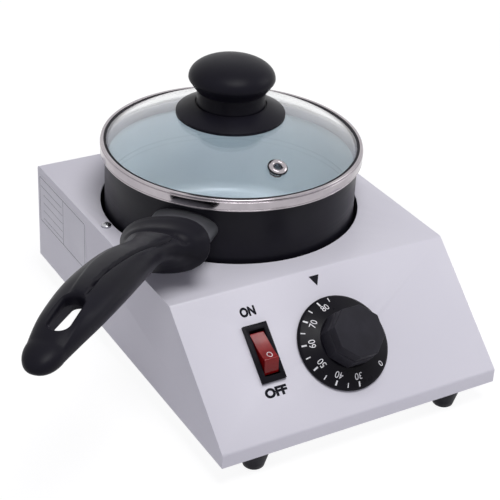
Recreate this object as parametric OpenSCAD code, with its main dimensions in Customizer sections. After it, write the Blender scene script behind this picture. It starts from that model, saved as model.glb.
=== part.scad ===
// Single-pot wax warmer: a sheet-metal heater housing with a sloping control
// panel, a lift-out saucepan with a moulded handle, and a domed glass lid.
// Millimetres. +Z up, front towards -Y, origin on the floor under the middle
// of the housing's footprint.

/* [Housing] */
// Width of the top to the left of the opening
left_margin = 10.2; // [9.6:0.1:24]
// Width of the top to the right of the opening
right_margin = 12.6; // [9.6:0.1:24]
// Depth of the top in front of the opening
front_margin = 15; // [10:0.1:24]
// Depth of the top behind the opening
rear_margin = 11; // [9.6:0.1:24]
// Depth of the sloping panel, from front to back
panel_run = 63.8; // [58:0.1:80]
// Height of the housing without its feet
body_h = 64.6; // [62:0.2:90]
// Height of the upright lip below the sloping panel
lip_h = 8.4; // [6:0.2:14]
// Thickness of the sheet steel
sheet_t = 1.2; // [0.8:0.1:1.6]
// Outside radius of the folded corners
bend_r = 2.4; // [1.8:0.1:4]
// Width of the flange turned in along the bottom edge
return_w = 11; // [10:0.5:14]
// Clearance all round the base plate
base_gap = 0.4; // [0.2:0.1:0.8]

/* [Vents] */
// Number of vent slots in each row
vent_count = 9; // [5:1:11]
// Width of one vent slot
vent_w = 3; // [2:0.5:4]
// Length of one vent slot
vent_l = 22; // [14:1:26]
// Distance from slot to slot
vent_pitch = 8; // [6:0.5:9]

/* [Feet] */
// Height of a rubber foot
foot_h = 14; // [10:0.5:18]
// Radius of a foot where it meets the base
foot_top_r = 9.3; // [8:0.1:11]
// Radius of a foot where it meets the floor
foot_low_r = 6; // [5:0.1:7]
// Distance of a foot's centre from the side of the housing
foot_inset_x = 26.2; // [20:0.2:34]
// Distance of a foot's centre from the front or back of the housing
foot_inset_y = 11.2; // [11:0.2:20]
// Radius of a foot screw's thread
foot_screw_r = 1.75; // [1.5:0.05:2]
// Radius of a foot screw's head
foot_head_r = 3.1; // [2.9:0.1:3.4]

/* [Heating well] */
// Radius of the round opening in the top
well_r = 78.6; // [76:0.1:80]
// Thickness of the well's wall
well_t = 1.5; // [1.2:0.1:2]
// Clearance between the well's flange and the housing's sides
flange_gap = 0.6; // [0.3:0.1:1]
// Clearance between the pan and the opening
pan_gap = 2.6; // [2:0.1:4]
// Thickness of the insulation round the well
wrap_t = 5.5; // [3:0.5:6]

/* [Heater] */
// Radius of the heating element's ring
element_ring_r = 52; // [44:1:56]
// Radius of the element's sheath
element_r = 4; // [3:0.1:4.5]
// How far the clamp plate reaches beyond the element
clamp_over = 4; // [2:0.5:5]
// Thickness of the clamp plate
clamp_t = 2; // [1.5:0.1:3]
// Radius of the clamp stud
stud_r = 2.5; // [2:0.1:3]
// Thickness of the insulation under the heater
blanket_t = 5.6; // [4.8:0.2:6]
// How far the heat shield stays inside the well's radius
shield_in = 1.6; // [1:0.1:4]
// Height of the heat shield's upturned rim
shield_rim_h = 9; // [6:0.5:11]
// Radius of the thermal cut-out
cutout_r = 6.5; // [5:0.1:7]
// Height of the thermal cut-out
cutout_h = 6.8; // [5:0.1:7.6]
// Radius of the sensor bulb
bulb_r = 3; // [2:0.1:3.4]
// Length of each cold end of the element outside its ring
cold_end = 20; // [14:1:26]
// Sideways distance of each cold end from the middle
cold_end_x = 10; // [8:0.5:14]
// Length of the sensor bulb
bulb_l = 48; // [40:1:60]
// Radius of the capillary tube
capillary_r = 0.8; // [0.6:0.1:1]

/* [Switch] */
// Sideways place of the switch
switch_x = -46.8; // [-52:0.1:-44]
// Place of the switch up the slope
switch_v = 46.6; // [42:0.1:48]
// Width of the switch's bezel
bezel_w = 14.8; // [14.4:0.1:16]
// Length of the switch's bezel
bezel_l = 33; // [32:0.1:35]
// Height of the bezel above the panel
bezel_h = 2; // [1.4:0.1:2.4]
// Width of the rocker
rocker_w = 8.8; // [8:0.1:9]
// Half the length of the rocker's opening
window_half_l = 13.2; // [13:0.1:13.6]
// Depth of the switch's body behind the panel
switch_depth = 20; // [17:0.5:21]
// Radius of the rocker's pin
pin_r = 1.2; // [0.8:0.1:1.5]
// Running clearance of the rocker on its pin
pin_gap = 0.06; // [0.03:0.01:0.09]
// Clearance beside the rocker
rocker_gap = 0.4; // [0.35:0.05:0.5]

/* [Dial] */
// Sideways place of the dial
dial_x = 1.2; // [-3:0.1:3]
// Place of the dial up the slope
dial_v = 39.7; // [36:0.1:42]
// Radius of the dial's skirt
skirt_r = 27.7; // [26:0.1:29]
// Clearance between the panel and the skirt
skirt_gap = 0.6; // [0.4:0.1:1]
// Thickness of the skirt's edge
skirt_edge = 1; // [0.8:0.1:1.4]
// Thickness of the skirt's shell
skirt_t = 1.8; // [1.4:0.1:2.2]
// Height of the skirt where it meets the grip, above the panel
skirt_h = 6.9; // [6:0.1:8]
// Corner radius of the grip at its foot
grip_r = 16.4; // [15.8:0.1:17.5]
// Corner radius of the grip at its top
grip_top_r = 15.4; // [14.5:0.1:15.7]
// Height of the grip's top above the panel
grip_h = 23.4; // [21:0.1:28]
// Height of the step round the grip above the panel
grip_step_h = 16.8; // [14:0.1:18]
// Radius of the control shaft
shaft_r = 3; // [2.6:0.1:3.2]
// Running clearance of the shaft in its bush
shaft_gap = 0.06; // [0.03:0.01:0.09]
// Wall of the knob's brass insert
insert_t = 1.5; // [1.2:0.1:2]
// Radius of the thermostat's threaded bush
bush_r = 5; // [4.6:0.1:5.4]
// Width of the thermostat
thermostat_w = 34; // [30:1:38]
// Length of the thermostat up the slope
thermostat_l = 28; // [24:1:29]
// Depth of the thermostat
thermostat_d = 23; // [19:1:24]
// Distance between the thermostat's two screws
thermostat_pitch = 24; // [22:0.5:25]

/* [Pan] */
// Height of the pan
pan_h = 71; // [66:1:73]
// Thickness of the pan's wall
pan_t = 2; // [1.6:0.1:2.4]
// Thickness of the pan's bottom
pan_floor_t = 3; // [2.5:0.1:4]
// Outside radius where the pan's wall meets its bottom
pan_corner_r = 9; // [6:0.5:11]
// Height of the pan's floor seat above the housing's bottom
seat_h = 28.5; // [28.5:0.1:31]
// How far the pan's lip stands out
pan_lip = 1.2; // [0.8:0.1:1.4]
// Height of the pan's lip
pan_lip_h = 1.6; // [1.2:0.1:2.4]

/* [Handle] */
// Direction of the handle, about the pan's axis
handle_az = -139; // [-150:1:-120]
// Distance of the handle's collar outside the pan
collar_out = 29; // [25:0.5:34]
// Distance of the collar's centre below the pan's lip
collar_drop = 11.8; // [11:0.1:13]
// Half the width of the collar
collar_half_w = 25.8; // [22:0.2:28]
// Half the height of the collar
collar_half_h = 15.4; // [14.4:0.2:15.8]
// Half the greatest width of the grip
grip_half_w = 15.4; // [13:0.2:17]
// Half the greatest thickness of the grip
grip_half_t = 9.4; // [8:0.2:10]
// Length of the grip beyond the collar
grip_len = 156; // [140:1:170]
// Rise of the grip over its length
grip_rise = 22; // [14:0.5:26]
// Length of the hanging slot
slot_l = 24.6; // [22:0.2:32]
// Width of the hanging slot
slot_w = 10; // [8:0.2:12]
// Thickness of the grip round the slot, above the recess in its underside
slot_web = 6; // [4:0.2:8]
// Width of the recess on each side of the slot
recess_side = 3; // [2:0.2:4]
// How far the recess reaches beyond the slot, towards the pan
recess_in = 14; // [12:0.5:18]
// How far the recess reaches beyond the slot, towards the end of the grip
recess_out = 3; // [2:0.2:4]
// Distance from the slot to the end of the grip
slot_end = 22; // [17:0.5:27]
// Half the width of the ferrule
ferrule_half_w = 19.5; // [17:0.2:20]
// Half the height of the ferrule
ferrule_half_h = 9.4; // [9:0.2:10.6]
// Thickness of the ferrule's sheet
ferrule_t = 1; // [0.8:0.1:1.4]
// Radius of the handle's stud
handle_stud_r = 2.5; // [2:0.1:3]

/* [Lid] */
// Clearance between the pan's lip and the rim's band
rim_play = 0.9; // [0.3:0.05:1.5]
// Height of the rim's outer band
rim_h = 7.2; // [6.6:0.1:9]
// Thickness of the rim's sheet
rim_t = 0.6; // [0.5:0.05:0.7]
// How far the rim hangs below the pan's lip
rim_lap = 1.4; // [0.5:0.1:2]
// Width of the rim's top edge over the glass
rim_top_w = 2.8; // [2.4:0.1:4.5]
// How far the rim's skirt reaches into the pan
rim_skirt_h = 6; // [4:0.5:9]
// Clearance between the skirt and the pan's wall
rim_skirt_gap = 0.6; // [0.4:0.1:1]
// Height of the glass dome above the rim's lower edge
dome_h = 27.2; // [24:0.1:30]
// Thickness of the glass
glass_t = 3.6; // [3:0.1:3.8]
// Distance of the vent in from the pan's wall
vent_inset = 17.4; // [15:0.2:24]
// Direction of the vent, about the lid's axis
vent_az = -93.6; // [-120:0.2:-60]
// Radius of the vent eyelet's flange
eyelet_r = 5.3; // [4.8:0.1:6]
// Radius of the hole through the eyelet
eyelet_hole_r = 2.4; // [2:0.1:2.8]

/* [Lid knob] */
// Sideways offset of the knob from the lid's middle
knob_dx = -1.4; // [-2:0.1:2]
// Offset of the knob behind the lid's middle
knob_dy = 0.8; // [-2:0.1:2]
// Radius of the knob's flange
flange_r = 32.5; // [28:0.1:35]
// Height of the flange's edge
flange_edge = 1.7; // [1.2:0.1:2.2]
// Radius of the knob's neck
neck_r = 20.4; // [17:0.1:21]
// Height of the cone from the flange's edge to the neck
cone_h = 6; // [5:0.1:8]
// Height of the neck
neck_h = 8; // [6:0.1:12]
// Greatest radius of the knob
knob_r = 25.6; // [23:0.1:29]
// Radius of the knob's underside
knob_low_r = 21.3; // [21.2:0.1:22]
// Height from the knob's underside to its widest place
knob_low_h = 7; // [6:0.1:10]
// Height of the knob's dome above its widest place
knob_dome_h = 12; // [8:0.1:14]
// Radius of the knob's screw
knob_screw_r = 2.5; // [2:0.1:3]

/* [Cable entry] */
// Distance of the cable gland in from the housing's right side
gland_inset = 34; // [24:1:44]
// Height of the cable gland above the housing's bottom
gland_z = 24; // [20:0.5:34]
// Radius of the hole for the mains lead
lead_r = 3.6; // [3:0.1:4]
// Radius of the gland's thread
gland_r = 7.8; // [7:0.1:8.5]
// Length of the gland outside the housing
gland_out = 17; // [15:0.5:22]

/* [Wiring] */
// Width of the terminal block
block_w = 30; // [26:1:34]
// Length of the terminal block
block_l = 16; // [14:1:20]
// Height of the terminal block
block_h = 13; // [11:0.5:16]
// Distance between neighbouring terminals
block_pitch = 9; // [8:0.5:10]
// Clearance between the terminal block and a foot's middle
block_clear = 8.8; // [8:0.2:14]
// Radius of the earth stud
earth_r = 2; // [1.5:0.1:2.5]
// Length of the earth stud above the base
earth_l = 11; // [9:0.5:14]
// Radius of an insulated wire
wire_r = 1.2; // [0.9:0.1:1.4]

/* [Fasteners] */
// Radius of the small screws' thread
small_screw_r = 1.5; // [1.4:0.05:1.6]
// Radius of the small screws' heads
small_head_r = 3.1; // [2.8:0.1:3.2]
// Height of the small screws' heads
small_head_h = 2; // [1.6:0.1:2.2]
// Width of the small nuts across their flats
small_nut_af = 4.6; // [4.4:0.1:4.8]
// Height of the small nuts
small_nut_h = 2.4; // [2:0.1:2.6]
// Radius of the base screws' thread
base_screw_r = 1.4; // [1.2:0.05:1.5]
// Length of a base screw under its head
base_screw_l = 5; // [4:0.2:7]
// How far a screw reaches past its nut
past_nut = 1; // [0.5:0.1:2]
// Width of the clamp nuts across their flats
clamp_nut_af = 8; // [7:0.5:9]
// Height of the clamp nuts
clamp_nut_h = 4; // [3:0.2:4.4]
// Clearance round a screw in its hole
screw_clear = 0.25; // [0.1:0.05:0.4]

/* [Hidden] */

round_fn = 96;
small_fn = 32;
cut = 0.5;            // how far a cutter runs past the face it opens
seat_gap = 0.1;       // gap between round parts that bear on each other
touch_gap = 0.25;     // gap between formed parts that bear on each other

// Housing outline, as the side view shows it
housing_w = left_margin + 2 * well_r + right_margin;
top_depth = front_margin + 2 * well_r + rear_margin;
base_depth = top_depth + panel_run;
y_front = -base_depth / 2;
y_back = base_depth / 2;
y_edge = y_back - top_depth;
z_low = foot_h;
z_lip = foot_h + lip_h;
z_top = foot_h + body_h;
well_x = (left_margin - right_margin) / 2;
well_y = y_back - rear_margin - well_r;
slope = atan2(z_top - z_lip, y_edge - y_front);
side = [[y_front, z_low], [y_front, z_lip], [y_edge, z_top], [y_back, z_top], [y_back, z_low]];

function unit(v) = v / norm(v);
// Inward normal of the edge from a to b, for an outline that runs clockwise
function inward(a, b) = let (d = unit(b - a)) [d[1], -d[0]];
// The outline moved inwards by t
function inset(p, t) = [for (i = [0 : len(p) - 1])
    let (n1 = inward(p[(i + len(p) - 1) % len(p)], p[i]), n2 = inward(p[i], p[(i + 1) % len(p)]))
    p[i] + t * (n1 + n2) / (1 + n1 * n2)];
// The corner at b, rounded with radius r into k + 1 points
function corner(a, b, c, r, k) = let (
    u = unit(a - b), w = unit(c - b), half = acos(u * w) / 2,
    m = b + unit(u + w) * r / sin(half), s = b + u * r / tan(half), e = b + w * r / tan(half),
    a0 = atan2(s[1] - m[1], s[0] - m[0]), a1 = atan2(e[1] - m[1], e[0] - m[0]),
    turn = ((a1 - a0 + 540) % 360) - 180)
    [for (i = [0 : k]) m + r * [cos(a0 + turn * i / k), sin(a0 + turn * i / k)]];
// A side outline with its three folded corners rounded
function folded(p, r) = concat([p[0]], corner(p[0], p[1], p[2], r, 5),
    corner(p[1], p[2], p[3], r, 5), corner(p[2], p[3], p[4], r, 5), [p[4]]);
// Points of an arc about m, from angle a0 to a1
function arc(m, r, a0, a1, k) = [for (i = [0 : k])
    m + r * [cos(a0 + (a1 - a0) * i / k), sin(a0 + (a1 - a0) * i / k)]];
// A smooth curve through hand-set points, k steps between each pair
function through(p, k) = [for (i = [0 : len(p) - 2]) for (j = [0 : k - 1])
    let (a = p[max(i - 1, 0)], b = p[i], c = p[i + 1], d = p[min(i + 2, len(p) - 1)], t = j / k)
    0.5 * (2 * b + (c - a) * t + (2 * a - 5 * b + 4 * c - d) * t * t
        + (3 * b - a - 3 * c + d) * t * t * t)];
function smooth(p, k) = concat(through(p, k), [p[len(p) - 1]]);

// Wall faces of a tube of rings with m points in each
function skin(n, m) = concat(
    [[for (j = [m - 1 : -1 : 0]) j]],
    [for (i = [0 : n - 2]) for (j = [0 : m - 1]) each [
        [i * m + j, i * m + (j + 1) % m, (i + 1) * m + (j + 1) % m],
        [i * m + j, (i + 1) * m + (j + 1) % m, (i + 1) * m + j]]],
    [[for (j = [0 : m - 1]) (n - 1) * m + j]]);

// A round tube swept along a smooth curve through hand-set points
module swept_tube(points, r, sides = 8, steps = 4) {
    path = smooth(points, steps);
    n = len(path);
    rings = [for (i = [0 : n - 1])
        let (t = unit(path[min(i + 1, n - 1)] - path[max(i - 1, 0)]),
            ref = abs(t[2]) > 0.9 ? [1, 0, 0] : [0, 0, 1],
            u = unit(cross(ref, t)), w = cross(t, u))
        each [for (j = [0 : sides - 1]) path[i] + r * (u * cos(360 * j / sides) + w * sin(360 * j / sides))]];
    polyhedron(rings, skin(n, sides), convexity = 6);
}

// Places children on the sloping panel: x across, v up the slope, h out of it
module on_panel(x, v, h = 0) {
    translate([x, y_front + v * cos(slope), z_lip + v * sin(slope)])
        rotate([slope, 0, 0]) translate([0, 0, h]) children();
}
function panel_point(x, v, h) = [x,
    y_front + v * cos(slope) - h * sin(slope), z_lip + v * sin(slope) + h * cos(slope)];

module on_well(z = 0) {
    translate([well_x, well_y, z]) children();
}

// A domed screw head with a cross recess, its shank pointing down from z = 0
module pan_screw(r, l, head_r, head_h) {
    difference() {
        rotate_extrude($fn = small_fn) polygon(concat([[0, -l], [r, -l], [r, 0], [head_r, 0]],
            [for (a = [15 : 15 : 90]) [head_r * cos(a), head_h * (0.35 + 0.65 * sin(a))]]));
        for (a = [0, 90]) rotate([0, 0, a]) translate([-head_r * 0.55, -head_r * 0.11, head_h * 0.55])
            cube([head_r * 1.1, head_r * 0.22, head_h]);
    }
}

module hex_nut(af, h, bore_r) {
    difference() {
        cylinder(r = af / sqrt(3), h = h, $fn = 6);
        translate([0, 0, -cut]) cylinder(r = bore_r, h = h + 2 * cut, $fn = small_fn);
    }
}

// A bar with round ends, standing on z = 0, its length along Y
module slot_bar(w, l, h) {
    translate([-w / 2, -(l - w) / 2, 0]) cube([w, l - w, h]);
    for (s = [-1, 1]) translate([0, s * (l - w) / 2, 0]) cylinder(d = w, h = h, $fn = small_fn);
}

/* ---- housing ---- */
foot_x = housing_w / 2 - foot_inset_x;
foot_y = base_depth / 2 - foot_inset_y;
block_x = foot_x - block_clear - block_w / 2;
base_screw_y = foot_y - 3 * foot_top_r;
base_screw_x = housing_w / 2 - sheet_t - return_w / 2;
gland_x = housing_w / 2 - gland_inset;
well_flange = min(left_margin, right_margin, rear_margin) - sheet_t - flange_gap;
well_screw_ring = well_r + well_flange / 2 - 0.2;
thermostat_screw_r = 1.7;
switch_body_w = rocker_w + 4;
switch_body_l = 2 * window_half_l + 3;
switch_fit = 0.15;

module feet_places() {
    for (x = [-foot_x, foot_x]) for (y = [-foot_y, foot_y]) translate([x, y, 0]) children();
}

module base_screw_places() {
    for (x = [-base_screw_x, base_screw_x]) for (y = [-base_screw_y, 0, base_screw_y])
        translate([x, y, 0]) children();
}

// The flange screws on the left and right of the opening
module well_screw_places() {
    for (a = [0, 180]) on_well() rotate([0, 0, a]) translate([well_screw_ring, 0, 0]) children();
}

module housing_solid(outline, w) {
    translate([-w / 2, 0, 0]) rotate([90, 0, 90]) linear_extrude(w) polygon(outline);
}

module housing_shell() {
    inner = inset(side, sheet_t);
    open = [[inner[0][0], z_low - cut], inner[1], inner[2], inner[3], [inner[4][0], z_low - cut]];
    flange_z = z_low + sheet_t;
    color("white") difference() {
        union() {
            difference() {
                housing_solid(folded(side, bend_r), housing_w);
                housing_solid(folded(open, bend_r - sheet_t), housing_w - 2 * sheet_t);
            }
            for (s = [-1, 1]) translate([s * (housing_w / 2 - return_w / 2 - sheet_t / 2), 0, flange_z + sheet_t / 2])
                cube([return_w + sheet_t, base_depth - sheet_t, sheet_t], center = true);
        }
        on_well(z_top - 2 * sheet_t) cylinder(r = well_r, h = 4 * sheet_t, $fn = round_fn);
        well_screw_places() translate([0, 0, z_top - 2 * sheet_t])
            cylinder(r = small_screw_r + screw_clear, h = 4 * sheet_t, $fn = small_fn);
        on_panel(switch_x, switch_v, -3 * sheet_t)
            linear_extrude(6 * sheet_t) square([switch_body_w + 2 * switch_fit, switch_body_l + 2 * switch_fit], center = true);
        on_panel(dial_x, dial_v, -3 * sheet_t) {
            cylinder(r = bush_r + screw_clear, h = 6 * sheet_t, $fn = small_fn);
            for (s = [-1, 1]) translate([s * thermostat_pitch / 2, 0, 0])
                cylinder(r = thermostat_screw_r + screw_clear, h = 6 * sheet_t, $fn = small_fn);
        }
        base_screw_places() translate([0, 0, z_low])
            cylinder(r = base_screw_r, h = 4 * sheet_t, $fn = small_fn);
        translate([gland_x, y_back - 2 * sheet_t, z_low + gland_z]) rotate([-90, 0, 0])
            cylinder(r = gland_r + screw_clear, h = 4 * sheet_t, $fn = small_fn);
        for (i = [0 : vent_count - 1])
            translate([-housing_w / 4 + (i - (vent_count - 1) / 2) * vent_pitch, y_back + cut, z_low + body_h / 2])
                rotate([90, 0, 0]) slot_bar(vent_w, vent_l, sheet_t + 2 * cut);
    }
}

module base_plate() {
    color("gainsboro") difference() {
        translate([0, 0, z_low + sheet_t / 2])
            cube([housing_w - 2 * (sheet_t + base_gap), base_depth - 2 * (sheet_t + base_gap), sheet_t], center = true);
        feet_places() translate([0, 0, z_low - cut])
            cylinder(r = foot_screw_r + screw_clear, h = sheet_t + 2 * cut, $fn = small_fn);
        base_screw_places() translate([0, 0, z_low - cut])
            cylinder(r = base_screw_r + screw_clear, h = sheet_t + 2 * cut, $fn = small_fn);
        translate([earth_at[0], earth_at[1], z_low - cut])
            cylinder(r = earth_r + 0.02, h = sheet_t + 2 * cut, $fn = small_fn);
        for (row = [-1, 1]) for (i = [0 : vent_count - 1])
            translate([(i - (vent_count - 1) / 2) * vent_pitch, row * base_depth / 5, z_low - cut])
                slot_bar(vent_w, vent_l, sheet_t + 2 * cut);
    }
}

module base_screws() {
    color("silver") base_screw_places() translate([0, 0, z_low]) rotate([180, 0, 0])
        pan_screw(base_screw_r, base_screw_l, small_head_r - 0.3, small_head_h - 0.2);
}

foot_recess = 4;
foot_nut_h = 2.8;

module rubber_feet() {
    color("#1d1d1f") feet_places() difference() {
        rotate_extrude($fn = 48) polygon([[0, 0], [foot_low_r - 0.8, 0], [foot_low_r, 0.8],
            [foot_top_r, z_low - 1], [foot_top_r, z_low], [0, z_low]]);
        translate([0, 0, -cut]) cylinder(r = foot_head_r + screw_clear, h = foot_recess + cut, $fn = small_fn);
        cylinder(r = foot_screw_r + screw_clear, h = z_low + cut, $fn = small_fn);
    }
}

module foot_screws() {
    color("silver") feet_places() translate([0, 0, foot_recess]) rotate([180, 0, 0])
        pan_screw(foot_screw_r, z_low - foot_recess + sheet_t + foot_nut_h + 1, foot_head_r, 2.2);
}

module foot_nuts() {
    color("silver") feet_places() translate([0, 0, z_low + sheet_t])
        hex_nut(6, foot_nut_h, foot_screw_r + 0.02);
}

/* ---- heating well and heater ---- */
z_seat = z_low + seat_h;              // the pan's bottom rests here
z_well_low = z_seat - well_t;         // underside of the well's floor
z_flange = z_top - sheet_t;           // top of the well's flange

module heating_well() {
    color("#b9bcc0") difference() {
        on_well() rotate_extrude($fn = round_fn) polygon([[0, z_well_low], [well_r + well_t, z_well_low],
            [well_r + well_t, z_flange - well_t], [well_r + well_flange, z_flange - well_t],
            [well_r + well_flange, z_flange], [well_r, z_flange], [well_r, z_seat], [0, z_seat]]);
        well_screw_places() translate([0, 0, z_flange - well_t - cut])
            cylinder(r = small_screw_r + screw_clear, h = well_t + 2 * cut, $fn = small_fn);
    }
}

module well_screws() {
    color("silver") well_screw_places() translate([0, 0, z_top])
        pan_screw(small_screw_r, sheet_t + well_t + small_nut_h + past_nut, small_head_r, small_head_h);
}

module well_nuts() {
    color("silver") well_screw_places() translate([0, 0, z_flange - well_t - small_nut_h]) rotate([0, 0, 30])
        hex_nut(small_nut_af, small_nut_h, small_screw_r + 0.02);
}

// Glass-wool band round the well's wall, below the flange nuts
module well_insulation() {
    band_top = z_flange - well_t - small_nut_h - 2;
    color("#d8cfae") on_well(z_seat) difference() {
        cylinder(r = well_r + well_t + wrap_t, h = band_top - z_seat, $fn = round_fn);
        translate([0, 0, -cut]) cylinder(r = well_r + well_t + 0.05, h = band_top - z_seat + 2 * cut, $fn = round_fn);
    }
}

z_element = z_well_low - seat_gap - element_r;
clamp_r = element_ring_r + element_r + clamp_over;
shield_r = well_r - shield_in;
z_clamp = z_element - element_r - seat_gap;       // top of the clamp plate
z_blanket = z_clamp - clamp_t;                    // top of the blanket
z_shield = z_blanket - blanket_t;                 // top of the heat shield
lead_pin_r = 2.2;                                 // terminal pin of a cold end

module heating_element() {
    ring_y = sqrt(element_ring_r * element_ring_r - cold_end_x * cold_end_x);
    color("#6d6a66") on_well(z_element) {
        rotate_extrude($fn = 72) translate([element_ring_r, 0]) circle(r = element_r, $fn = 24);
        for (s = [-1, 1]) translate([s * cold_end_x, -ring_y, 0]) rotate([90, 0, 0]) {
            cylinder(r = element_r - 0.8, h = cold_end - 6, $fn = small_fn);
            cylinder(r = lead_pin_r, h = cold_end, $fn = small_fn);
        }
    }
}
function lead_end(s) = [well_x + s * cold_end_x,
    well_y - sqrt(element_ring_r * element_ring_r - cold_end_x * cold_end_x) - cold_end, z_element];

module clamp_plate() {
    color("#a7a9ac") on_well(z_clamp - clamp_t) difference() {
        cylinder(r = clamp_r, h = clamp_t, $fn = round_fn);
        translate([0, 0, -cut]) cylinder(r = stud_r + screw_clear, h = clamp_t + 2 * cut, $fn = small_fn);
    }
}

module clamp_stud() {
    low = z_shield - sheet_t - clamp_nut_h - 0.6;
    color("silver") on_well(low) cylinder(r = stud_r, h = z_well_low - low, $fn = small_fn);
}

module clamp_nuts() {
    color("silver") for (z = [z_blanket - clamp_nut_h, z_shield - sheet_t - clamp_nut_h])
        on_well(z) hex_nut(clamp_nut_af, clamp_nut_h, stud_r + 0.02);
}

module heater_blanket() {
    color("#d8cfae") on_well(z_shield) difference() {
        cylinder(r = shield_r - sheet_t - 1.5, h = blanket_t, $fn = round_fn);
        translate([0, 0, -cut]) cylinder(r = 8, h = blanket_t + 2 * cut, $fn = small_fn);
    }
}

module heat_shield() {
    color("#a7a9ac") on_well(z_shield - sheet_t) difference() {
        cylinder(r = shield_r, h = shield_rim_h, $fn = round_fn);
        translate([0, 0, sheet_t]) cylinder(r = shield_r - sheet_t, h = shield_rim_h, $fn = round_fn);
        translate([0, 0, -cut]) cylinder(r = stud_r + screw_clear, h = sheet_t + 2 * cut, $fn = small_fn);
    }
}

// The cut-out and the bulb lie under the well's floor, outside the element
outer_ring = (element_ring_r + element_r + well_r) / 2;

module thermal_cutout() {
    color("#7b7f86") on_well(z_well_low) translate([-outer_ring, 0, 0]) mirror([0, 0, 1]) {
        cylinder(r = cutout_r, h = cutout_h - 2, $fn = small_fn);
        cylinder(r = cutout_r - 1.4, h = cutout_h, $fn = small_fn);
    }
}

z_bulb = z_well_low - seat_gap - bulb_r;

module sensor_bulb() {
    color("#b7794a") on_well(z_bulb) translate([outer_ring, -bulb_l / 2, 0])
        rotate([-90, 0, 0]) cylinder(r = bulb_r, h = bulb_l, $fn = small_fn);
}

// Two straps that hold the bulb against the well's floor
module bulb_clip() {
    strap_w = 5;
    wall = 0.8;
    r = bulb_r + 0.05;
    color("silver") for (y = [-bulb_l / 4, bulb_l / 4])
        on_well(z_bulb) translate([outer_ring, y - strap_w / 2, 0]) rotate([-90, 0, 0]) difference() {
            union() {
                cylinder(r = r + wall, h = strap_w, $fn = small_fn);
                translate([-r - wall, -(z_well_low - z_bulb), 0])
                    cube([2 * (r + wall), z_well_low - z_bulb, strap_w]);
            }
            translate([0, 0, -cut]) cylinder(r = r, h = strap_w + 2 * cut, $fn = small_fn);
            translate([-r, -r - 2 * bulb_r, -cut]) cube([2 * r, r + 2 * bulb_r, strap_w + 2 * cut]);
        }
}

/* ---- thermostat ---- */
shaft_in = 10;          // how far the shaft reaches into the thermostat
tab_w = 6.3;
tab_t = 0.8;
tab_l = 8;
bush_out = 1;           // how far the bush stands out of the panel

module thermostat_body() {
    d = thermostat_d;
    color("#e8e2cf") on_panel(dial_x, dial_v, -sheet_t - d) difference() {
        translate([-thermostat_w / 2, -thermostat_l / 2, 0]) cube([thermostat_w, thermostat_l, d]);
        translate([0, 0, d - shaft_in]) cylinder(r = bush_r, h = shaft_in + cut, $fn = small_fn);
        for (s = [-1, 1]) translate([s * thermostat_pitch / 2, 0, d - 8])
            cylinder(r = thermostat_screw_r + 0.05, h = 8 + cut, $fn = small_fn);
    }
}

// Threaded bush that carries the shaft through the panel
module thermostat_bush() {
    color("#c9a24b") on_panel(dial_x, dial_v, -sheet_t - shaft_in) difference() {
        cylinder(r = bush_r - 0.02, h = shaft_in + sheet_t + bush_out, $fn = small_fn);
        translate([0, 0, 1.5]) cylinder(r = shaft_r + shaft_gap, h = shaft_in + sheet_t + bush_out, $fn = small_fn);
    }
}

module thermostat_screws() {
    color("silver") for (s = [-1, 1]) on_panel(dial_x + s * thermostat_pitch / 2, dial_v, 0)
        pan_screw(thermostat_screw_r, sheet_t + 6, 3, 1.8);
}

tab_v = thermostat_l / 4;
module thermostat_tabs() {
    color("#c9a24b") for (s = [-1, 1])
        on_panel(dial_x + s * thermostat_w / 4, dial_v + tab_v, -sheet_t - thermostat_d - tab_l)
            translate([-tab_w / 2, -tab_t / 2, 0]) cube([tab_w, tab_t, tab_l]);
}
function thermostat_tab(s) = panel_point(dial_x + s * thermostat_w / 4, dial_v + tab_v,
    -sheet_t - thermostat_d - tab_l);

/* ---- dial ---- */
hub_r = shaft_r + insert_t + 2.5;
insert_low = skirt_gap + 2.2;
insert_l = grip_step_h - insert_low;
shaft_top = insert_low + insert_l - 1;

// Turned shaft, free in its bush and held in the knob's insert
module control_shaft() {
    low = -sheet_t - shaft_in + 1.5 + touch_gap;
    color("silver") on_panel(dial_x, dial_v, low) cylinder(r = shaft_r, h = shaft_top - low, $fn = small_fn);
}

module knob_insert() {
    color("#c9a24b") on_panel(dial_x, dial_v, insert_low) difference() {
        cylinder(r = shaft_r + insert_t, h = insert_l, $fn = small_fn);
        translate([0, 0, -cut]) cylinder(r = shaft_r + 0.02, h = insert_l - 1 + cut, $fn = small_fn);
    }
}

module dial_skirt() {
    top_r = grip_r * cos(22.5) - 0.6;
    color("#17171a") on_panel(dial_x, dial_v) rotate_extrude($fn = round_fn) polygon([
        [skirt_r, skirt_gap], [skirt_r, skirt_gap + skirt_edge], [skirt_r - 1.2, skirt_gap + skirt_edge + 0.9],
        [grip_r, skirt_h], [top_r, skirt_h], [top_r, skirt_h - skirt_t],
        [grip_r, skirt_h - skirt_t], [skirt_r - 2, skirt_gap]]);
}

// Eight-sided grip with a step round its sides and a hub for the insert
module dial_grip() {
    flat_h = skirt_h - skirt_t;
    low_r = grip_r * cos(22.5) - 0.7;
    color("#232326") on_panel(dial_x, dial_v) difference() {
        union() {
            rotate([0, 0, 22.5]) rotate_extrude($fn = 8) polygon([[0, skirt_h], [grip_r, skirt_h],
                [grip_r - 0.4, grip_step_h], [grip_r - 0.8, grip_step_h], [grip_top_r, grip_h - 0.4],
                [grip_top_r - 0.4, grip_h], [0, grip_h]]);
            translate([0, 0, flat_h]) cylinder(r = low_r, h = skirt_h - flat_h + 1, $fn = small_fn);
            translate([0, 0, insert_low]) cylinder(r = hub_r, h = flat_h - insert_low + cut, $fn = small_fn);
        }
        translate([0, 0, insert_low - cut]) cylinder(r = shaft_r + insert_t + 0.01, h = insert_l + cut, $fn = small_fn);
    }
}

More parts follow.
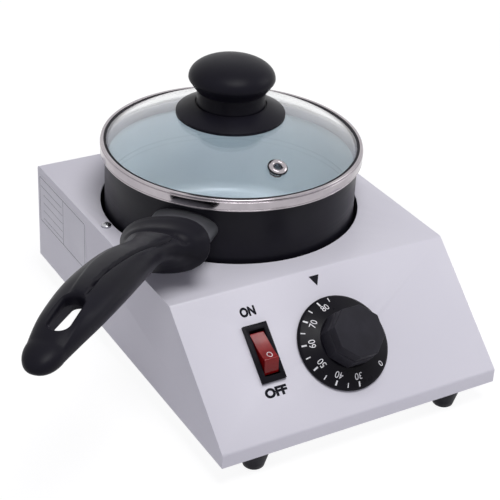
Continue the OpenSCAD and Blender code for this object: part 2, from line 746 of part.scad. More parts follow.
/* ---- switch ---- */
z_pivot = -1;                      // height of the rocker's pin above the panel
pocket_h = 8;                      // depth of the rocker's pocket below the panel
switch_tab_l = 7;

module switch_body() {
    pocket_w = rocker_w + 2 * rocker_gap;
    color("#26262a") on_panel(switch_x, switch_v) difference() {
        union() {
            translate([-bezel_w / 2, -bezel_l / 2, 0]) cube([bezel_w, bezel_l, bezel_h]);
            translate([-switch_body_w / 2, -switch_body_l / 2, -switch_depth])
                cube([switch_body_w, switch_body_l, switch_depth + cut]);
        }
        translate([-pocket_w / 2, -window_half_l, -pocket_h]) cube([pocket_w, 2 * window_half_l, pocket_h + bezel_h + cut]);
        translate([0, 0, z_pivot]) rotate([0, 90, 0])
            cylinder(r = pin_r, h = switch_body_w - 1, center = true, $fn = small_fn);
        translate([-lamp_r, lamp_v - lamp_l / 2, -pocket_h - lamp_drop]) cube([2 * lamp_r, lamp_l, lamp_drop + cut]);
    }
}

lamp_r = 1.6;
lamp_l = 9;
lamp_v = 6.2;
lamp_drop = 4;

// Neon lamp lying in a slot under the rocker's lit end
module switch_lamp() {
    color("#ff9a5c") on_panel(switch_x, switch_v + lamp_v - lamp_l / 2 + 0.1, -pocket_h - lamp_drop + lamp_r)
        rotate([-90, 0, 0]) cylinder(r = lamp_r - 0.05, h = lamp_l - 0.2, $fn = small_fn);
}

module switch_pin() {
    color("silver") on_panel(switch_x, switch_v, z_pivot) rotate([0, 90, 0])
        cylinder(r = pin_r, h = switch_body_w - 1, center = true, $fn = small_fn);
}

// The rocker in its on position: heights above the panel, lengths from its pin
rocker_end_y = 12.2;              // lower end, where it enters the window
rocker_end_h = 0.6;
rocker_crest_y = 5.4;             // raised crest at the lower end
rocker_crest_h = 7.3;
rocker_dip_y = 1.5;               // lowest line of the hollow face
rocker_dip_h = 3.6;
rocker_flush_y = 11.8;            // pressed upper end
rocker_flush_h = 0.4;
rocker_foot = 3.4;                // depth of the rocker's hub below its pin

module rocker() {
    outline = [[-rocker_end_y, rocker_end_h], [-rocker_crest_y, rocker_crest_h], [rocker_dip_y, rocker_dip_h],
        [rocker_flush_y, rocker_flush_h], [rocker_flush_y - 1.2, z_pivot - 0.6], [4, z_pivot - rocker_foot],
        [-4, z_pivot - rocker_foot], [-rocker_end_y + 1.4, z_pivot - 0.6]];
    color("#c3161c") on_panel(switch_x, switch_v) difference() {
        rotate([90, 0, 90]) linear_extrude(rocker_w, center = true) polygon(outline);
        translate([0, 0, z_pivot]) rotate([0, 90, 0])
            cylinder(r = pin_r + pin_gap, h = rocker_w + 2 * cut, center = true, $fn = small_fn);
    }
}

switch_tab_v = [-9, 0, 9];
module switch_tabs() {
    color("#c9a24b") for (v = switch_tab_v)
        on_panel(switch_x, switch_v + v, -switch_depth - switch_tab_l)
            translate([-4.8 / 2, -tab_t / 2, 0]) cube([4.8, tab_t, switch_tab_l]);
}
function switch_tab(i) = panel_point(switch_x, switch_v + switch_tab_v[i], -switch_depth - switch_tab_l);

/* ---- terminals and wiring ---- */
block_room = (sheet_t + block_h - lip_h + sheet_t / cos(slope) + 2) / tan(slope);
block_at = [-block_x, y_front + sheet_t + block_room + block_l / 2, z_low + sheet_t];
earth_at = [block_at[0] + block_w / 2 + 9, block_at[1] + 4];

module terminal_block() {
    color("#ece9e1") difference() {
        translate(block_at + [-block_w / 2, -block_l / 2, 0]) cube([block_w, block_l, block_h]);
        for (i = [-1 : 1]) translate(block_at + [i * block_pitch, 0, block_h / 2]) {
            cylinder(r = 2, h = block_h, $fn = small_fn);
            rotate([-90, 0, 0]) cylinder(r = wire_r + 0.3, h = block_l, $fn = small_fn);
        }
    }
}

module terminal_screws() {
    color("silver") for (i = [-1 : 1]) translate(block_at + [i * block_pitch, 0, block_h / 2]) difference() {
        cylinder(r = 1.95, h = block_h / 2 - 1, $fn = small_fn);
        translate([-2.5, -0.3, block_h / 2 - 2]) cube([5, 0.6, 2]);
    }
}
function block_hole(i) = block_at + [i * block_pitch, block_l / 2, block_h / 2];

module earth_stud() {
    color("silver") translate([earth_at[0], earth_at[1], z_low]) cylinder(r = earth_r, h = earth_l, $fn = small_fn);
}

module earth_nut() {
    color("silver") translate([earth_at[0], earth_at[1], z_low + sheet_t]) hex_nut(7, 3.2, earth_r + 0.02);
}

// Each wire starts just clear of its terminal and leaves it straight
wire_gap = 0.3;
module wire(from, from_dir, mid, to_dir, to) {
    out = min(5, norm(to - from) / 4);
    swept_tube(concat([from + from_dir * wire_gap, from + from_dir * out / 2, from + from_dir * out], mid,
        [to + to_dir * out, to + to_dir * out / 2, to + to_dir * wire_gap]), wire_r);
}
// A point that keeps a wire clear above the base plate
function above_base(p) = [p[0], p[1], max(p[2], z_low + sheet_t + 2 * wire_r)];

back_off = [0, sin(slope), -cos(slope)];          // away from the panel's inner face
module wire_live() {
    color("#7a4a2a") wire(block_hole(-1), [0, 1, 0], [], back_off, switch_tab(0));
}

module wire_switched() {
    a = switch_tab(2);
    b = thermostat_tab(-1);
    color("#7a4a2a") wire(a, back_off, [(a + b) / 2 + norm(b - a) * [0, 0.22, 0.12]], back_off, b);
}

module wire_heater() {
    a = thermostat_tab(1);
    b = lead_end(1);
    color("#b03a2e") wire(a, back_off, [], [0, -1, 0], b);
}

module wire_neutral() {
    a = block_hole(0);
    b = lead_end(-1);
    color("#2f5fa8") wire(a, [0, 1, 0], [above_base((a + b) / 2 + [0, -2, -9])], [0, -1, 0], b);
}

module wire_earth() {
    a = block_hole(1);
    b = [earth_at[0], earth_at[1], z_low + earth_l];
    color("#8fae2c") wire(a, [0, 1, 0], [(a + b) / 2 + [2, 8, 6]], [0, 0, 1], b);
}

// Capillary from the thermostat's side to the bulb's front end
module capillary_tube() {
    a = panel_point(dial_x + thermostat_w / 2, dial_v, -sheet_t - thermostat_d / 2);
    b = [well_x + outer_ring, well_y - bulb_l / 2, z_bulb];
    reach = b[0] - a[0];
    color("#b7794a") swept_tube([a + [0.2, 0, 0], a + reach * [0.15, 0, 0], a + reach * [0.49, 0.11, -0.02],
        b + reach * [-0.04, -0.56, 0.01], b + reach * [0, -0.15, 0], b + [0, -0.2, 0]], capillary_r, 8, 5);
}

/* ---- cable gland ---- */
gland_in = 9;
cap_r = gland_r + 1.6;

module on_gland(y = 0) {
    translate([gland_x, y_back + y, z_low + gland_z]) rotate([-90, 0, 0]) children();
}

module gland_body() {
    color("#1d1d1f") on_gland() difference() {
        union() {
            translate([0, 0, -sheet_t - gland_in]) cylinder(r = gland_r, h = sheet_t + gland_in, $fn = 48);
            cylinder(r = cap_r + 1, h = 5, $fn = 6);
            cylinder(r = gland_r - 1, h = gland_out - 5, $fn = 48);
        }
        translate([0, 0, -sheet_t - gland_in - cut]) cylinder(r = lead_r + 1.4, h = sheet_t + gland_in + gland_out, $fn = 48);
    }
}

module gland_locknut() {
    color("#1d1d1f") on_gland(-sheet_t - 4.5) hex_nut(2 * gland_r + 5, 4.5, gland_r + 0.02);
}

module gland_seal() {
    color("#2b2b2b") on_gland() difference() {
        translate([0, 0, gland_out - 12]) cylinder(r = lead_r + 1.35, h = 10, $fn = 48);
        cylinder(r = lead_r, h = gland_out, $fn = 48);
    }
}

module gland_cap() {
    color("#1d1d1f") on_gland() difference() {
        rotate_extrude($fn = 48) polygon([[0, 5 + touch_gap], [cap_r, 5 + touch_gap], [cap_r, gland_out - 4],
            [lead_r + 2, gland_out], [0, gland_out]]);
        translate([0, 0, 5]) cylinder(r = gland_r - 0.95, h = gland_out - 5 - 1.9, $fn = 48);
        cylinder(r = lead_r + 0.6, h = gland_out + cut, $fn = 48);
    }
}

/* ---- pan and handle ---- */
pan_r = well_r - pan_gap;
vent_out = pan_r - vent_inset;
rim_r = pan_r + pan_lip + rim_play + rim_t;
z_lip_top = z_seat + pan_h;
pan_in_r = pan_r - pan_t;
collar_z = z_lip_top - collar_drop;
collar_r = pan_r + collar_out;

module pan_shell() {
    c = pan_corner_r;
    ci = pan_corner_r - pan_t;
    color("#26262a") on_well() rotate_extrude($fn = round_fn) polygon(concat(
        [[0, z_seat]], arc([pan_r - c, z_seat + c], c, -90, 0, 6),
        [[pan_r, z_lip_top - pan_lip_h - 0.8], [pan_r + pan_lip, z_lip_top - pan_lip_h],
        [pan_r + pan_lip, z_lip_top], [pan_in_r, z_lip_top]],
        arc([pan_in_r - ci, z_seat + pan_floor_t + ci], ci, 0, -90, 6), [[0, z_seat + pan_floor_t]]));
}

module on_handle(r = 0, z = 0) {
    on_well() rotate([0, 0, handle_az]) translate([r, 0, z]) children();
}

// An oval outline with half-axes a and b
oval_steps = 48;
function oval(a, b, k) = [for (i = [0 : k - 1]) [a * cos(360 * i / k), b * sin(360 * i / k)]];

// Flattened steel tube between the pan's wall and the handle's collar
module handle_ferrule() {
    start = 6;
    reach = collar_r - pan_r + 6;
    color("#3c3d42") difference() {
        on_handle(pan_r - start, collar_z - collar_fall) rotate([90, 0, 90]) difference() {
            linear_extrude(reach + start) polygon(oval(ferrule_half_w, ferrule_half_h, oval_steps));
            translate([0, 0, -cut]) linear_extrude(reach + start + 2 * cut)
                polygon(oval(ferrule_half_w - ferrule_t, ferrule_half_h - ferrule_t, oval_steps));
        }
        on_well(z_seat) cylinder(r = pan_r, h = pan_h + 2 * cut, $fn = round_fn);
        on_handle(collar_r - (collar_back + touch_gap) / cos(lean), collar_z) rotate([0, -lean, 0])
            translate([0, -2 * ferrule_half_w, -2 * ferrule_half_w]) cube(4 * ferrule_half_w);
    }
}

collar_back = 3.6;       // how far the collar's rear edge lies behind its centre
collar_fall = 2.8;       // how far the ferrule sits below the collar's centre
stud_in = 34;            // how far the stud reaches beyond the collar's centre
stud_rise = 15;          // angle at which the stud climbs into the grip
stud_lift = 3.5;         // height of the stud above the collar's centre there

// The stud's line: distance s along it from where it passes the collar
module on_stud(s = 0) {
    on_handle(collar_r, collar_z + stud_lift) rotate([0, 90 - stud_rise, 0]) translate([0, 0, s]) children();
}

module handle_stud() {
    inner = (pan_r - collar_r) / cos(stud_rise) - 3;
    color("silver") difference() {
        on_stud(inner) cylinder(r = handle_stud_r, h = stud_in - inner, $fn = small_fn);
        on_well(z_seat) cylinder(r = pan_r, h = pan_h + 2 * cut, $fn = round_fn);
    }
}

// Stations along the grip: share of its length, share of its rise, half
// width, half thickness, and how far the section leans back and rolls
lean = 22;
roll = 12;
grip_stations = [
    [-collar_back / grip_len, 0, collar_half_w - 2.4, collar_half_h - 1.8, lean, roll],
    [0, 0, collar_half_w, collar_half_h, lean, roll],
    [2.4 / grip_len, 0.01, collar_half_w - 0.4, collar_half_h - 0.4, lean, roll],
    [7 / grip_len, 0.11, collar_half_w * 0.86, collar_half_h * 0.76, lean * 0.9, roll * 0.9],
    [13 / grip_len, 0.26, collar_half_w * 0.67, collar_half_h * 0.59, lean * 0.6, roll * 0.6],
    [21 / grip_len, 0.39, collar_half_w * 0.5, collar_half_h * 0.5, lean * 0.3, roll * 0.3],
    [0.20, 0.50, grip_half_w * 0.72, grip_half_t * 0.76, 0, 0],
    [0.34, 0.75, grip_half_w * 0.88, grip_half_t * 0.91, 0, 0],
    [0.49, 0.90, grip_half_w * 0.98, grip_half_t, 0, 0],
    [0.65, 0.99, grip_half_w * 0.99, grip_half_t, 0, 0],
    [0.80, 0.97, grip_half_w * 0.86, grip_half_t * 0.88, 0, 0],
    [0.91, 0.83, grip_half_w * 0.65, grip_half_t * 0.68, 0, 0]];
grip_sides = 28;

// One section of the grip, a rounded oval that stands across the grip
function grip_ring(s) = [for (j = [0 : grip_sides - 1])
    let (a = 360 * j / grip_sides, c = cos(a), n = sin(a),
        w = s[2] * sign(c) * pow(abs(c), 0.86), h = s[3] * sign(n) * pow(abs(n), 0.86),
        y = w * cos(s[5]) - h * sin(s[5]), z = w * sin(s[5]) + h * cos(s[5]))
    [collar_r + s[0] * grip_len - z * sin(s[4]), y, collar_z + s[1] * grip_rise + z * cos(s[4])]];

module handle_grip() {
    last = grip_stations[len(grip_stations) - 1];
    cap = 1 - last[0];
    run = smooth(grip_stations, 4);
    tip = [for (a = [20 : 16 : 84]) [last[0] + cap * sin(a), last[1] - 0.08 * sin(a), last[2] * cos(a), last[3] * cos(a), 0, 0]];
    stations = concat(run, tip);
    slot_r = collar_r + grip_len - slot_end - slot_l / 2;
    color("#1a1a1c") difference() {
        on_handle() polyhedron([for (s = stations) each grip_ring(s)], skin(len(stations), grip_sides), convexity = 6);
        on_handle(slot_r, collar_z) rotate([0, 0, 90]) slot_bar(slot_w, slot_l, 2 * grip_rise);
        on_handle(slot_r + (recess_out - recess_in) / 2, collar_z) rotate([0, 0, 90])
            slot_bar(slot_w + 2 * recess_side, slot_l + recess_in + recess_out,
                grip_rise * 0.97 + grip_half_t * 0.87 - slot_web);
        on_stud(-collar_half_h) cylinder(r = handle_stud_r + 0.1, h = collar_half_h + stud_in + 0.2, $fn = small_fn);
        on_set_screw() translate([0, 0, -set_screw_seat]) cylinder(r = set_screw_r + 0.1, h = set_screw_seat + cut, $fn = small_fn);
        on_set_screw() cylinder(r = small_head_r, h = 2 * collar_half_h, $fn = small_fn);
    }
}

set_screw_r = small_screw_r;
set_screw_seat = handle_stud_r + 3.2;

// The set screw's seat under the grip, square to the stud, +Z pointing out
module on_set_screw() {
    on_stud(stud_in - 7) rotate([0, 90, 0]) translate([0, 0, set_screw_seat]) children();
}

// Set screw from below, its tip just clear of the stud
module handle_screw() {
    color("silver") on_set_screw()
        pan_screw(set_screw_r, set_screw_seat - handle_stud_r - touch_gap, small_head_r - 0.3, small_head_h - 0.4);
}

/* ---- lid ---- */
z_rim = z_lip_top - rim_lap;                 // lower edge of the rim's band
glass_edge_r = rim_r - rim_t - 1.6;
skirt_out_r = pan_in_r - rim_skirt_gap;
dome_z = z_rim + dome_h;                     // top of the glass
glass_lift = 0.3;                            // bed of sealant under and over the glass
rim_in_r = rim_r - rim_top_w;
// The dome passes under the rim's inner top edge
dome_sag = dome_h - (rim_h - rim_t - glass_lift);
dome_r = (rim_in_r * rim_in_r + dome_sag * dome_sag) / (2 * dome_sag);

module lid_rim() {
    shelf = z_lip_top;
    color("#c9c4c8") on_well() rotate_extrude($fn = round_fn) polygon([
        [rim_r, z_rim], [rim_r, z_rim + rim_h - 0.7], [rim_r - 0.7, z_rim + rim_h], [rim_in_r, z_rim + rim_h],
        [rim_in_r, z_rim + rim_h - rim_t], [rim_r - rim_t, z_rim + rim_h - rim_t],
        [rim_r - rim_t, shelf + rim_t], [skirt_out_r, shelf + rim_t], [skirt_out_r - rim_t, shelf + rim_t],
        [skirt_out_r - rim_t, shelf - rim_skirt_h], [skirt_out_r, shelf - rim_skirt_h],
        [skirt_out_r, shelf], [rim_r - rim_t, shelf], [rim_r - rim_t, z_rim]]);
}

module on_vent(h = 0) {
    on_well(dome_z - dome_r) rotate([0, 0, vent_az]) rotate([0, asin(vent_out / dome_r), 0])
        translate([0, 0, dome_r + h]) children();
}

module on_knob(z = 0) {
    on_well(z) translate([knob_dx, knob_dy, 0]) children();
}

glass_hole_r = knob_screw_r + 1;
vent_tube_r = eyelet_hole_r + 0.9;

module lid_glass() {
    inner_r = dome_r - glass_t;
    floor_z = z_lip_top + rim_t + glass_lift;
    color([0.75, 0.85, 0.88, 0.4]) difference() {
        intersection() {
            on_well(dome_z - dome_r) sphere(r = dome_r, $fn = 128);
            on_well(floor_z) cylinder(r = glass_edge_r, h = dome_h, $fn = round_fn);
        }
        on_well(dome_z - dome_r) sphere(r = inner_r, $fn = 128);
        on_knob(z_rim) cylinder(r = glass_hole_r, h = 2 * dome_h, $fn = small_fn);
        on_vent(-2 * glass_t) cylinder(r = vent_tube_r + 0.8, h = 4 * glass_t, $fn = small_fn);
    }
}

// Black ring that seats the eyelet in the glass
module vent_seal() {
    color("#1d1d1f") on_vent() difference() {
        union() {
            translate([0, 0, -glass_t - 1.2]) cylinder(r = vent_tube_r + 0.75, h = glass_t + 1.2 + 0.2, $fn = small_fn);
            translate([0, 0, 0.15]) cylinder(r = eyelet_r + 0.5, h = 0.9, $fn = small_fn);
        }
        translate([0, 0, -2 * glass_t]) cylinder(r = vent_tube_r, h = 4 * glass_t, $fn = small_fn);
    }
}

module vent_eyelet() {
    low = -glass_t - 2;
    color("#d9dadd") on_vent() difference() {
        rotate_extrude($fn = 48) polygon([[0, low], [vent_tube_r + 1, low], [vent_tube_r, low + 0.8],
            [vent_tube_r, 1.05], [eyelet_r, 1.05], [eyelet_r, 1.4], [eyelet_r - 0.9, 2.1], [eyelet_hole_r + 1, 2.1],
            [0, 1.5]]);
        translate([0, 0, low - cut]) cylinder(r = eyelet_hole_r, h = 12, $fn = small_fn);
    }
}

/* ---- lid knob ---- */
z_base = dome_z - dome_r + sqrt(dome_r * dome_r - flange_r * flange_r) + 0.2;   // flange's lower edge
z_neck = z_base + flange_edge + cone_h;
z_knob = z_neck + neck_h;
knob_bore = 12;

module knob_base() {
    color("#232326") difference() {
        on_knob() rotate_extrude($fn = round_fn) polygon([[0, z_base - 1], [flange_r - 0.4, z_base],
            [flange_r, z_base + 0.4], [flange_r, z_base + flange_edge], [neck_r + 1, z_neck - 0.6],
            [neck_r, z_neck + 0.4], [neck_r, z_knob], [0, z_knob]]);
        on_well(dome_z - dome_r) sphere(r = dome_r + touch_gap, $fn = 128);
        on_knob(z_base - 2) cylinder(r = knob_screw_r + screw_clear, h = z_knob, $fn = small_fn);
        on_knob(dome_z - 2) cylinder(r = neck_r - 6, h = z_knob - dome_z - 2, $fn = 48);
    }
}

module lid_knob() {
    z_wide = z_knob + knob_low_h;
    color("#1d1d20") difference() {
        on_knob() rotate_extrude($fn = round_fn) polygon(concat([[0, z_knob], [knob_low_r - 0.8, z_knob],
            [knob_low_r, z_knob + 0.8], [knob_r - 0.5, z_wide - 1.2]],
            [for (a = [0 : 9 : 90]) [knob_r * pow(cos(a), 0.94), z_wide + knob_dome_h * pow(sin(a), 0.94)]]));
        on_knob(z_knob - cut) cylinder(r = knob_screw_r + 0.02, h = knob_bore + cut, $fn = small_fn);
    }
}

washer_t = 1.2;
washer_r = 11;
z_washer = dome_z - glass_t - washer_t - 0.3;

// Steel washer under the glass, on a soft ring
module knob_washer() {
    color("silver") on_knob() difference() {
        translate([0, 0, z_washer - washer_drop]) cylinder(r = washer_r, h = washer_t, $fn = 48);
        translate([0, 0, z_washer - washer_drop - cut]) cylinder(r = knob_screw_r + screw_clear, h = 3 * washer_t, $fn = small_fn);
    }
}
washer_drop = (dome_r - glass_t) - sqrt(pow(dome_r - glass_t, 2) - washer_r * washer_r);

module knob_screw() {
    z = z_washer - washer_drop;
    color("silver") on_knob(z) rotate([180, 0, 0])
        pan_screw(knob_screw_r, z_knob + knob_bore - 1 - z, 4.6, 2.6);
}

housing_shell();
base_plate();
base_screws();
rubber_feet();
foot_screws();
foot_nuts();
heating_well();
well_screws();
well_nuts();
well_insulation();
heating_element();
clamp_plate();
clamp_stud();
clamp_nuts();
heater_blanket();
heat_shield();
thermal_cutout();
sensor_bulb();
bulb_clip();
capillary_tube();
thermostat_body();
thermostat_bush();
thermostat_screws();
thermostat_tabs();
switch_body();
switch_pin();
switch_tabs();
switch_lamp();
terminal_block();
terminal_screws();
earth_stud();
earth_nut();
wire_live();
wire_switched();
wire_heater();
wire_neutral();
wire_earth();
gland_body();
gland_locknut();
gland_seal();
gland_cap();
control_shaft();
knob_insert();
dial_skirt();
dial_grip();
rocker();
pan_shell();
handle_ferrule();
handle_stud();
handle_grip();
handle_screw();
lid_rim();
lid_glass();
vent_seal();
vent_eyelet();
knob_base();
lid_knob();
knob_washer();
knob_screw();
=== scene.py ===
"""Single-pot wax warmer and its studio.

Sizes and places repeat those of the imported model.  Each sub-assembly below is
a class that builds its own meshes in millimetres and hands them to piece(),
which turns them into metres, dresses them and lets them ride on their body.
"""

import logging
import math
from collections.abc import Callable, Iterable, Sequence
from dataclasses import dataclass, field
from enum import Enum
from typing import Any, ClassVar

import bmesh
import bpy
from mathutils import Matrix, Vector


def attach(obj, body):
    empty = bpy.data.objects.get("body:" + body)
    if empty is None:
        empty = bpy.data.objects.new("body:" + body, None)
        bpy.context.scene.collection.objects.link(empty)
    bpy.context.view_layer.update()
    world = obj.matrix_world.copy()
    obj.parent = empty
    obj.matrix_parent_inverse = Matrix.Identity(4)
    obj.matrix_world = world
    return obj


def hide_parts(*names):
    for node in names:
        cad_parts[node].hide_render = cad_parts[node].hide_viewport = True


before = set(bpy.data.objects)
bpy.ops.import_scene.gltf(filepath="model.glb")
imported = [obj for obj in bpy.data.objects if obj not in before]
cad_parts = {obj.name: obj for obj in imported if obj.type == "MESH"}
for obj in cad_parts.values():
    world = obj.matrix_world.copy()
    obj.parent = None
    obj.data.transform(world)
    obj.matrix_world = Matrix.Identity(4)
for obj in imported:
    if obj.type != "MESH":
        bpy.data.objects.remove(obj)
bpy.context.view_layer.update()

LOG = logging.getLogger("wax_warmer")
METRES = Matrix.Scale(0.001, 4)
MERGE_METRES = 2e-6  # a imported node's points this close are one
FLAT_DEGREES = 0.3  # its faces that turn less than this are one face
CAPITAL_SHARE = 0.7  # a capital's height over the font's size
Profile = list[tuple[float, float]]
Tree = bpy.types.NodeTree
Socket = bpy.types.NodeSocket
Mesh = bmesh.types.BMesh


class Body(Enum):
    """The bodies that pieces ride on."""

    BASE = "base"
    PAN = "pan"
    LID = "lid"
    DIAL = "dial"
    ROCKER = "rocker"


# ---------------------------------------------------------------- node trees


def linear(code: str) -> tuple[float, float, float, float]:
    """Turns an sRGB hex code into linear colour.

    Args:
        code: Six hex digits after a hash.

    Returns:
        Red, green, blue and an alpha of 1.
    """
    parts = [int(code[i:i + 2], 16) / 255 for i in (1, 3, 5)]
    red, green, blue = (p / 12.92 if p <= 0.04045 else ((p + 0.055) / 1.055) ** 2.4 for p in parts)
    return red, green, blue, 1.0


def per_mm(size: float) -> float:
    """Texture scale at which one feature is this many millimetres across."""
    return 1000.0 / size


def add(tree: Tree, kind: str, sockets: dict[str | int, Any] | None = None,
        **settings: Any) -> bpy.types.Node:
    """Adds a node with its settings, values and links.

    Args:
        tree: The tree that gets the node.
        kind: Blender's name for the node's type.
        sockets: What each input gets: another node's output, or a plain value.
        settings: The node's own properties.

    Returns:
        The new node.
    """
    node = tree.nodes.new(kind)
    for key, value in settings.items():
        setattr(node, key, value)
    for key, value in (sockets or {}).items():
        if isinstance(value, Socket):
            tree.links.new(value, node.inputs[key])
        else:
            node.inputs[key].default_value = value
    return node


# ------------------------------------------------------------------ finishes


@dataclass(frozen=True)
class Finish:
    """What every finish has: its colours, its gloss and its fine relief.

    Attributes:
        name: The real material and how its surface was made.
        slot: Material slot of the record; not used.
        colour: Main colour.
        shade: The colour that it drifts towards.
        patch_mm: Size of that drift.
        rough: Middle roughness.
        spread: How far the roughness wanders to either side.
        grain_mm: Size of the surface's grain.
        relief_mm: Depth of the grain.
        metallic: 1 for bare metal, less where a film dulls it.
        specular: Strength of the mirror reflection of what isn't metal.
        coat: Strength of a clear coat.
        coat_rough: Roughness of that coat.
        smear_from: The greys that give the lowest and the highest roughness.
        waves: Relief noises from the coarsest up: size in grains, detail, and depth in reliefs.
    """

    name: str
    slot: str
    colour: str
    shade: str
    patch_mm: float = 35.0
    rough: float = 0.4
    spread: float = 0.05
    grain_mm: float = 1.0
    relief_mm: float = 0.02
    metallic: float = 0.0
    specular: float = 0.5
    coat: float = 0.0
    coat_rough: float = 0.1
    smear_from: ClassVar[tuple[float, float]] = (0.3, 0.7)
    waves: ClassVar[tuple[tuple[float, float, float], ...]] = ((1.0, 2.0, 1.0),)

    def material(self) -> bpy.types.Material:
        """Returns the finish's material, which is built the first time."""
        return bpy.data.materials.get(self.name) or self.build()

    def build(self) -> bpy.types.Material:
        """Builds the material from its colour, gloss and relief.

        Returns:
            The material, with one Principled shader.
        """
        mat = bpy.data.materials.new(self.name)
        mat.use_nodes = True
        mat.diffuse_color = linear(self.colour)
        tree = mat.node_tree
        tree.nodes.clear()
        where = add(tree, "ShaderNodeTexCoord").outputs["Object"]
        gloss = add(tree, "ShaderNodeMapRange", {
            "Value": self.smear(tree, where), "From Min": self.smear_from[0], "From Max": self.smear_from[1],
            "To Min": self.rough - self.spread, "To Max": self.rough + self.spread})
        normal: dict[str | int, Any] = {}
        for height, depth_mm in self.heights(tree, where):
            bump = add(tree, "ShaderNodeBump", {
                "Height": height, "Distance": depth_mm / 1000, "Strength": 1.0, **normal})
            normal = {"Normal": bump.outputs[0]}
        shader = add(tree, "ShaderNodeBsdfPrincipled", {
            "Base Color": self.tint(tree, where), "Roughness": gloss.outputs[0], **normal,
            "Metallic": self.metallic, "Specular IOR Level": self.specular,
            "Coat Weight": self.coat, "Coat Roughness": self.coat_rough})
        add(tree, "ShaderNodeOutputMaterial", {0: shader.outputs[0]})
        self.extras(tree, shader)
        return mat

    def tint(self, tree: Tree, where: Socket) -> Socket:
        """Draws the colour, a slow drift between colour and shade.

        Args:
            tree: The material's tree.
            where: Object coordinates.

        Returns:
            The colour.
        """
        patches = add(tree, "ShaderNodeTexNoise",
                      {"Vector": where, "Scale": per_mm(self.patch_mm), "Detail": 3.0})
        drift = add(tree, "ShaderNodeMapRange",
                    {"Value": patches.outputs[0], "From Min": 0.3, "From Max": 0.7})
        return add(tree, "ShaderNodeMix", {0: drift.outputs[0], 6: linear(self.colour), 7: linear(self.shade)},
                   data_type="RGBA").outputs[2]

    def smear(self, tree: Tree, where: Socket) -> Socket:
        """Returns the grey that the roughness follows: handling and the mould leave it uneven."""
        return add(tree, "ShaderNodeTexNoise", {
            "Vector": where, "Scale": per_mm(self.patch_mm * 0.4), "Detail": 4.0}).outputs[0]

    def heights(self, tree: Tree, where: Socket) -> list[tuple[Socket, float]]:
        """Returns the layers of the relief from the lowest up, each with its depth in millimetres."""
        return [(add(tree, "ShaderNodeTexNoise", {
            "Vector": where, "Scale": per_mm(self.grain_mm * size), "Detail": detail}).outputs[0],
            self.relief_mm * depth) for size, detail, depth in self.waves]

    def extras(self, tree: Tree, shader: bpy.types.Node) -> None:
        """Sets what only this finish has."""


class PowderCoat(Finish):
    """Baked polyester powder on steel: the eye sees a soft satin sheen broken by a fine orange peel."""

    # The orange peel is about 2 mm from wave to wave, and the powder's finer grit lies on it.
    waves = ((2.2, 2.0, 2.0), (0.5, 1.0, 0.5))


class MouldedPlastic(Finish):
    """Injection-moulded or pressed plastic: the tool's spark-eroded pits give a fine, even tooth.

    The real pits are too fine to show, so they are drawn some five times as coarse.
    """

    waves = ((14.0, 2.0, 3.0),)

    def heights(self, tree: Tree, where: Socket) -> list[tuple[Socket, float]]:
        """Returns the mould's slight waviness with its pits over it."""
        pits = add(tree, "ShaderNodeTexVoronoi", {"Vector": where, "Scale": per_mm(self.grain_mm)})
        return [*super().heights(tree, where), (pits.outputs["Distance"], self.relief_mm)]


class Rubber(MouldedPlastic):
    """Moulded rubber: dull, with a dusty bloom that catches light at its edges."""

    def extras(self, tree: Tree, shader: bpy.types.Node) -> None:
        """Adds the bloom as a weak sheen."""
        shader.inputs["Sheen Weight"].default_value = 0.15
        shader.inputs["Sheen Roughness"].default_value = 0.5


class SpangledZinc(Finish):
    """Metal with a crystal grain, such as hot-dip zinc: each flake is a slightly other grey and gloss."""

    smear_from = (0.0, 1.0)

    def tint(self, tree: Tree, where: Socket) -> Socket:
        """Returns the crystal's own colour."""
        values = {0: self.smear(tree, where), 6: linear(self.colour), 7: linear(self.shade)}
        return add(tree, "ShaderNodeMix", values, data_type="RGBA").outputs[2]

    def smear(self, tree: Tree, where: Socket) -> Socket:
        """Returns one random grey for each crystal."""
        cells = add(tree, "ShaderNodeTexVoronoi", {"Vector": where, "Scale": per_mm(self.patch_mm)})
        return add(tree, "ShaderNodeSeparateXYZ", {0: cells.outputs["Color"]}).outputs[0]


@dataclass(frozen=True)
class SpunMetal(Finish):
    """Turned, spun or polished on a lathe: fine rings round the axis draw the highlights out.

    Polishing lines are too fine to show, so the rings are drawn as coarse as they need to show.

    Attributes:
        axis: The lathe's axis in millimetres, as x and y.
    """

    axis: tuple[float, float] = (-1.2, 33.9)

    def rings(self, tree: Tree, where: Socket, size: float) -> Socket:
        """Returns a noise that only changes with radius and height.

        Args:
            tree: The material's tree.
            where: Object coordinates.
            size: Spacing of the tool's lines in millimetres.

        Returns:
            The grey value of the lines.
        """
        centred = add(tree, "ShaderNodeMapping", {
            "Vector": where, "Location": (-self.axis[0] / 1000, -self.axis[1] / 1000, 0.0)}).outputs[0]
        parts = add(tree, "ShaderNodeSeparateXYZ", {0: centred})
        flat = add(tree, "ShaderNodeCombineXYZ", {0: parts.outputs[0], 1: parts.outputs[1]}).outputs[0]
        radius = add(tree, "ShaderNodeVectorMath", {0: flat}, operation="LENGTH").outputs["Value"]
        turned_flat = add(tree, "ShaderNodeCombineXYZ", {0: radius, 1: parts.outputs[2]}).outputs[0]
        return add(tree, "ShaderNodeTexNoise", {
            "Vector": turned_flat, "Scale": per_mm(size), "Detail": 3.0}).outputs[0]

    def smear(self, tree: Tree, where: Socket) -> Socket:
        """Returns a grey that changes from line to line."""
        return self.rings(tree, where, self.grain_mm * 3)

    def heights(self, tree: Tree, where: Socket) -> list[tuple[Socket, float]]:
        """Returns the tool's lines."""
        return [(self.rings(tree, where, self.grain_mm), self.relief_mm)]


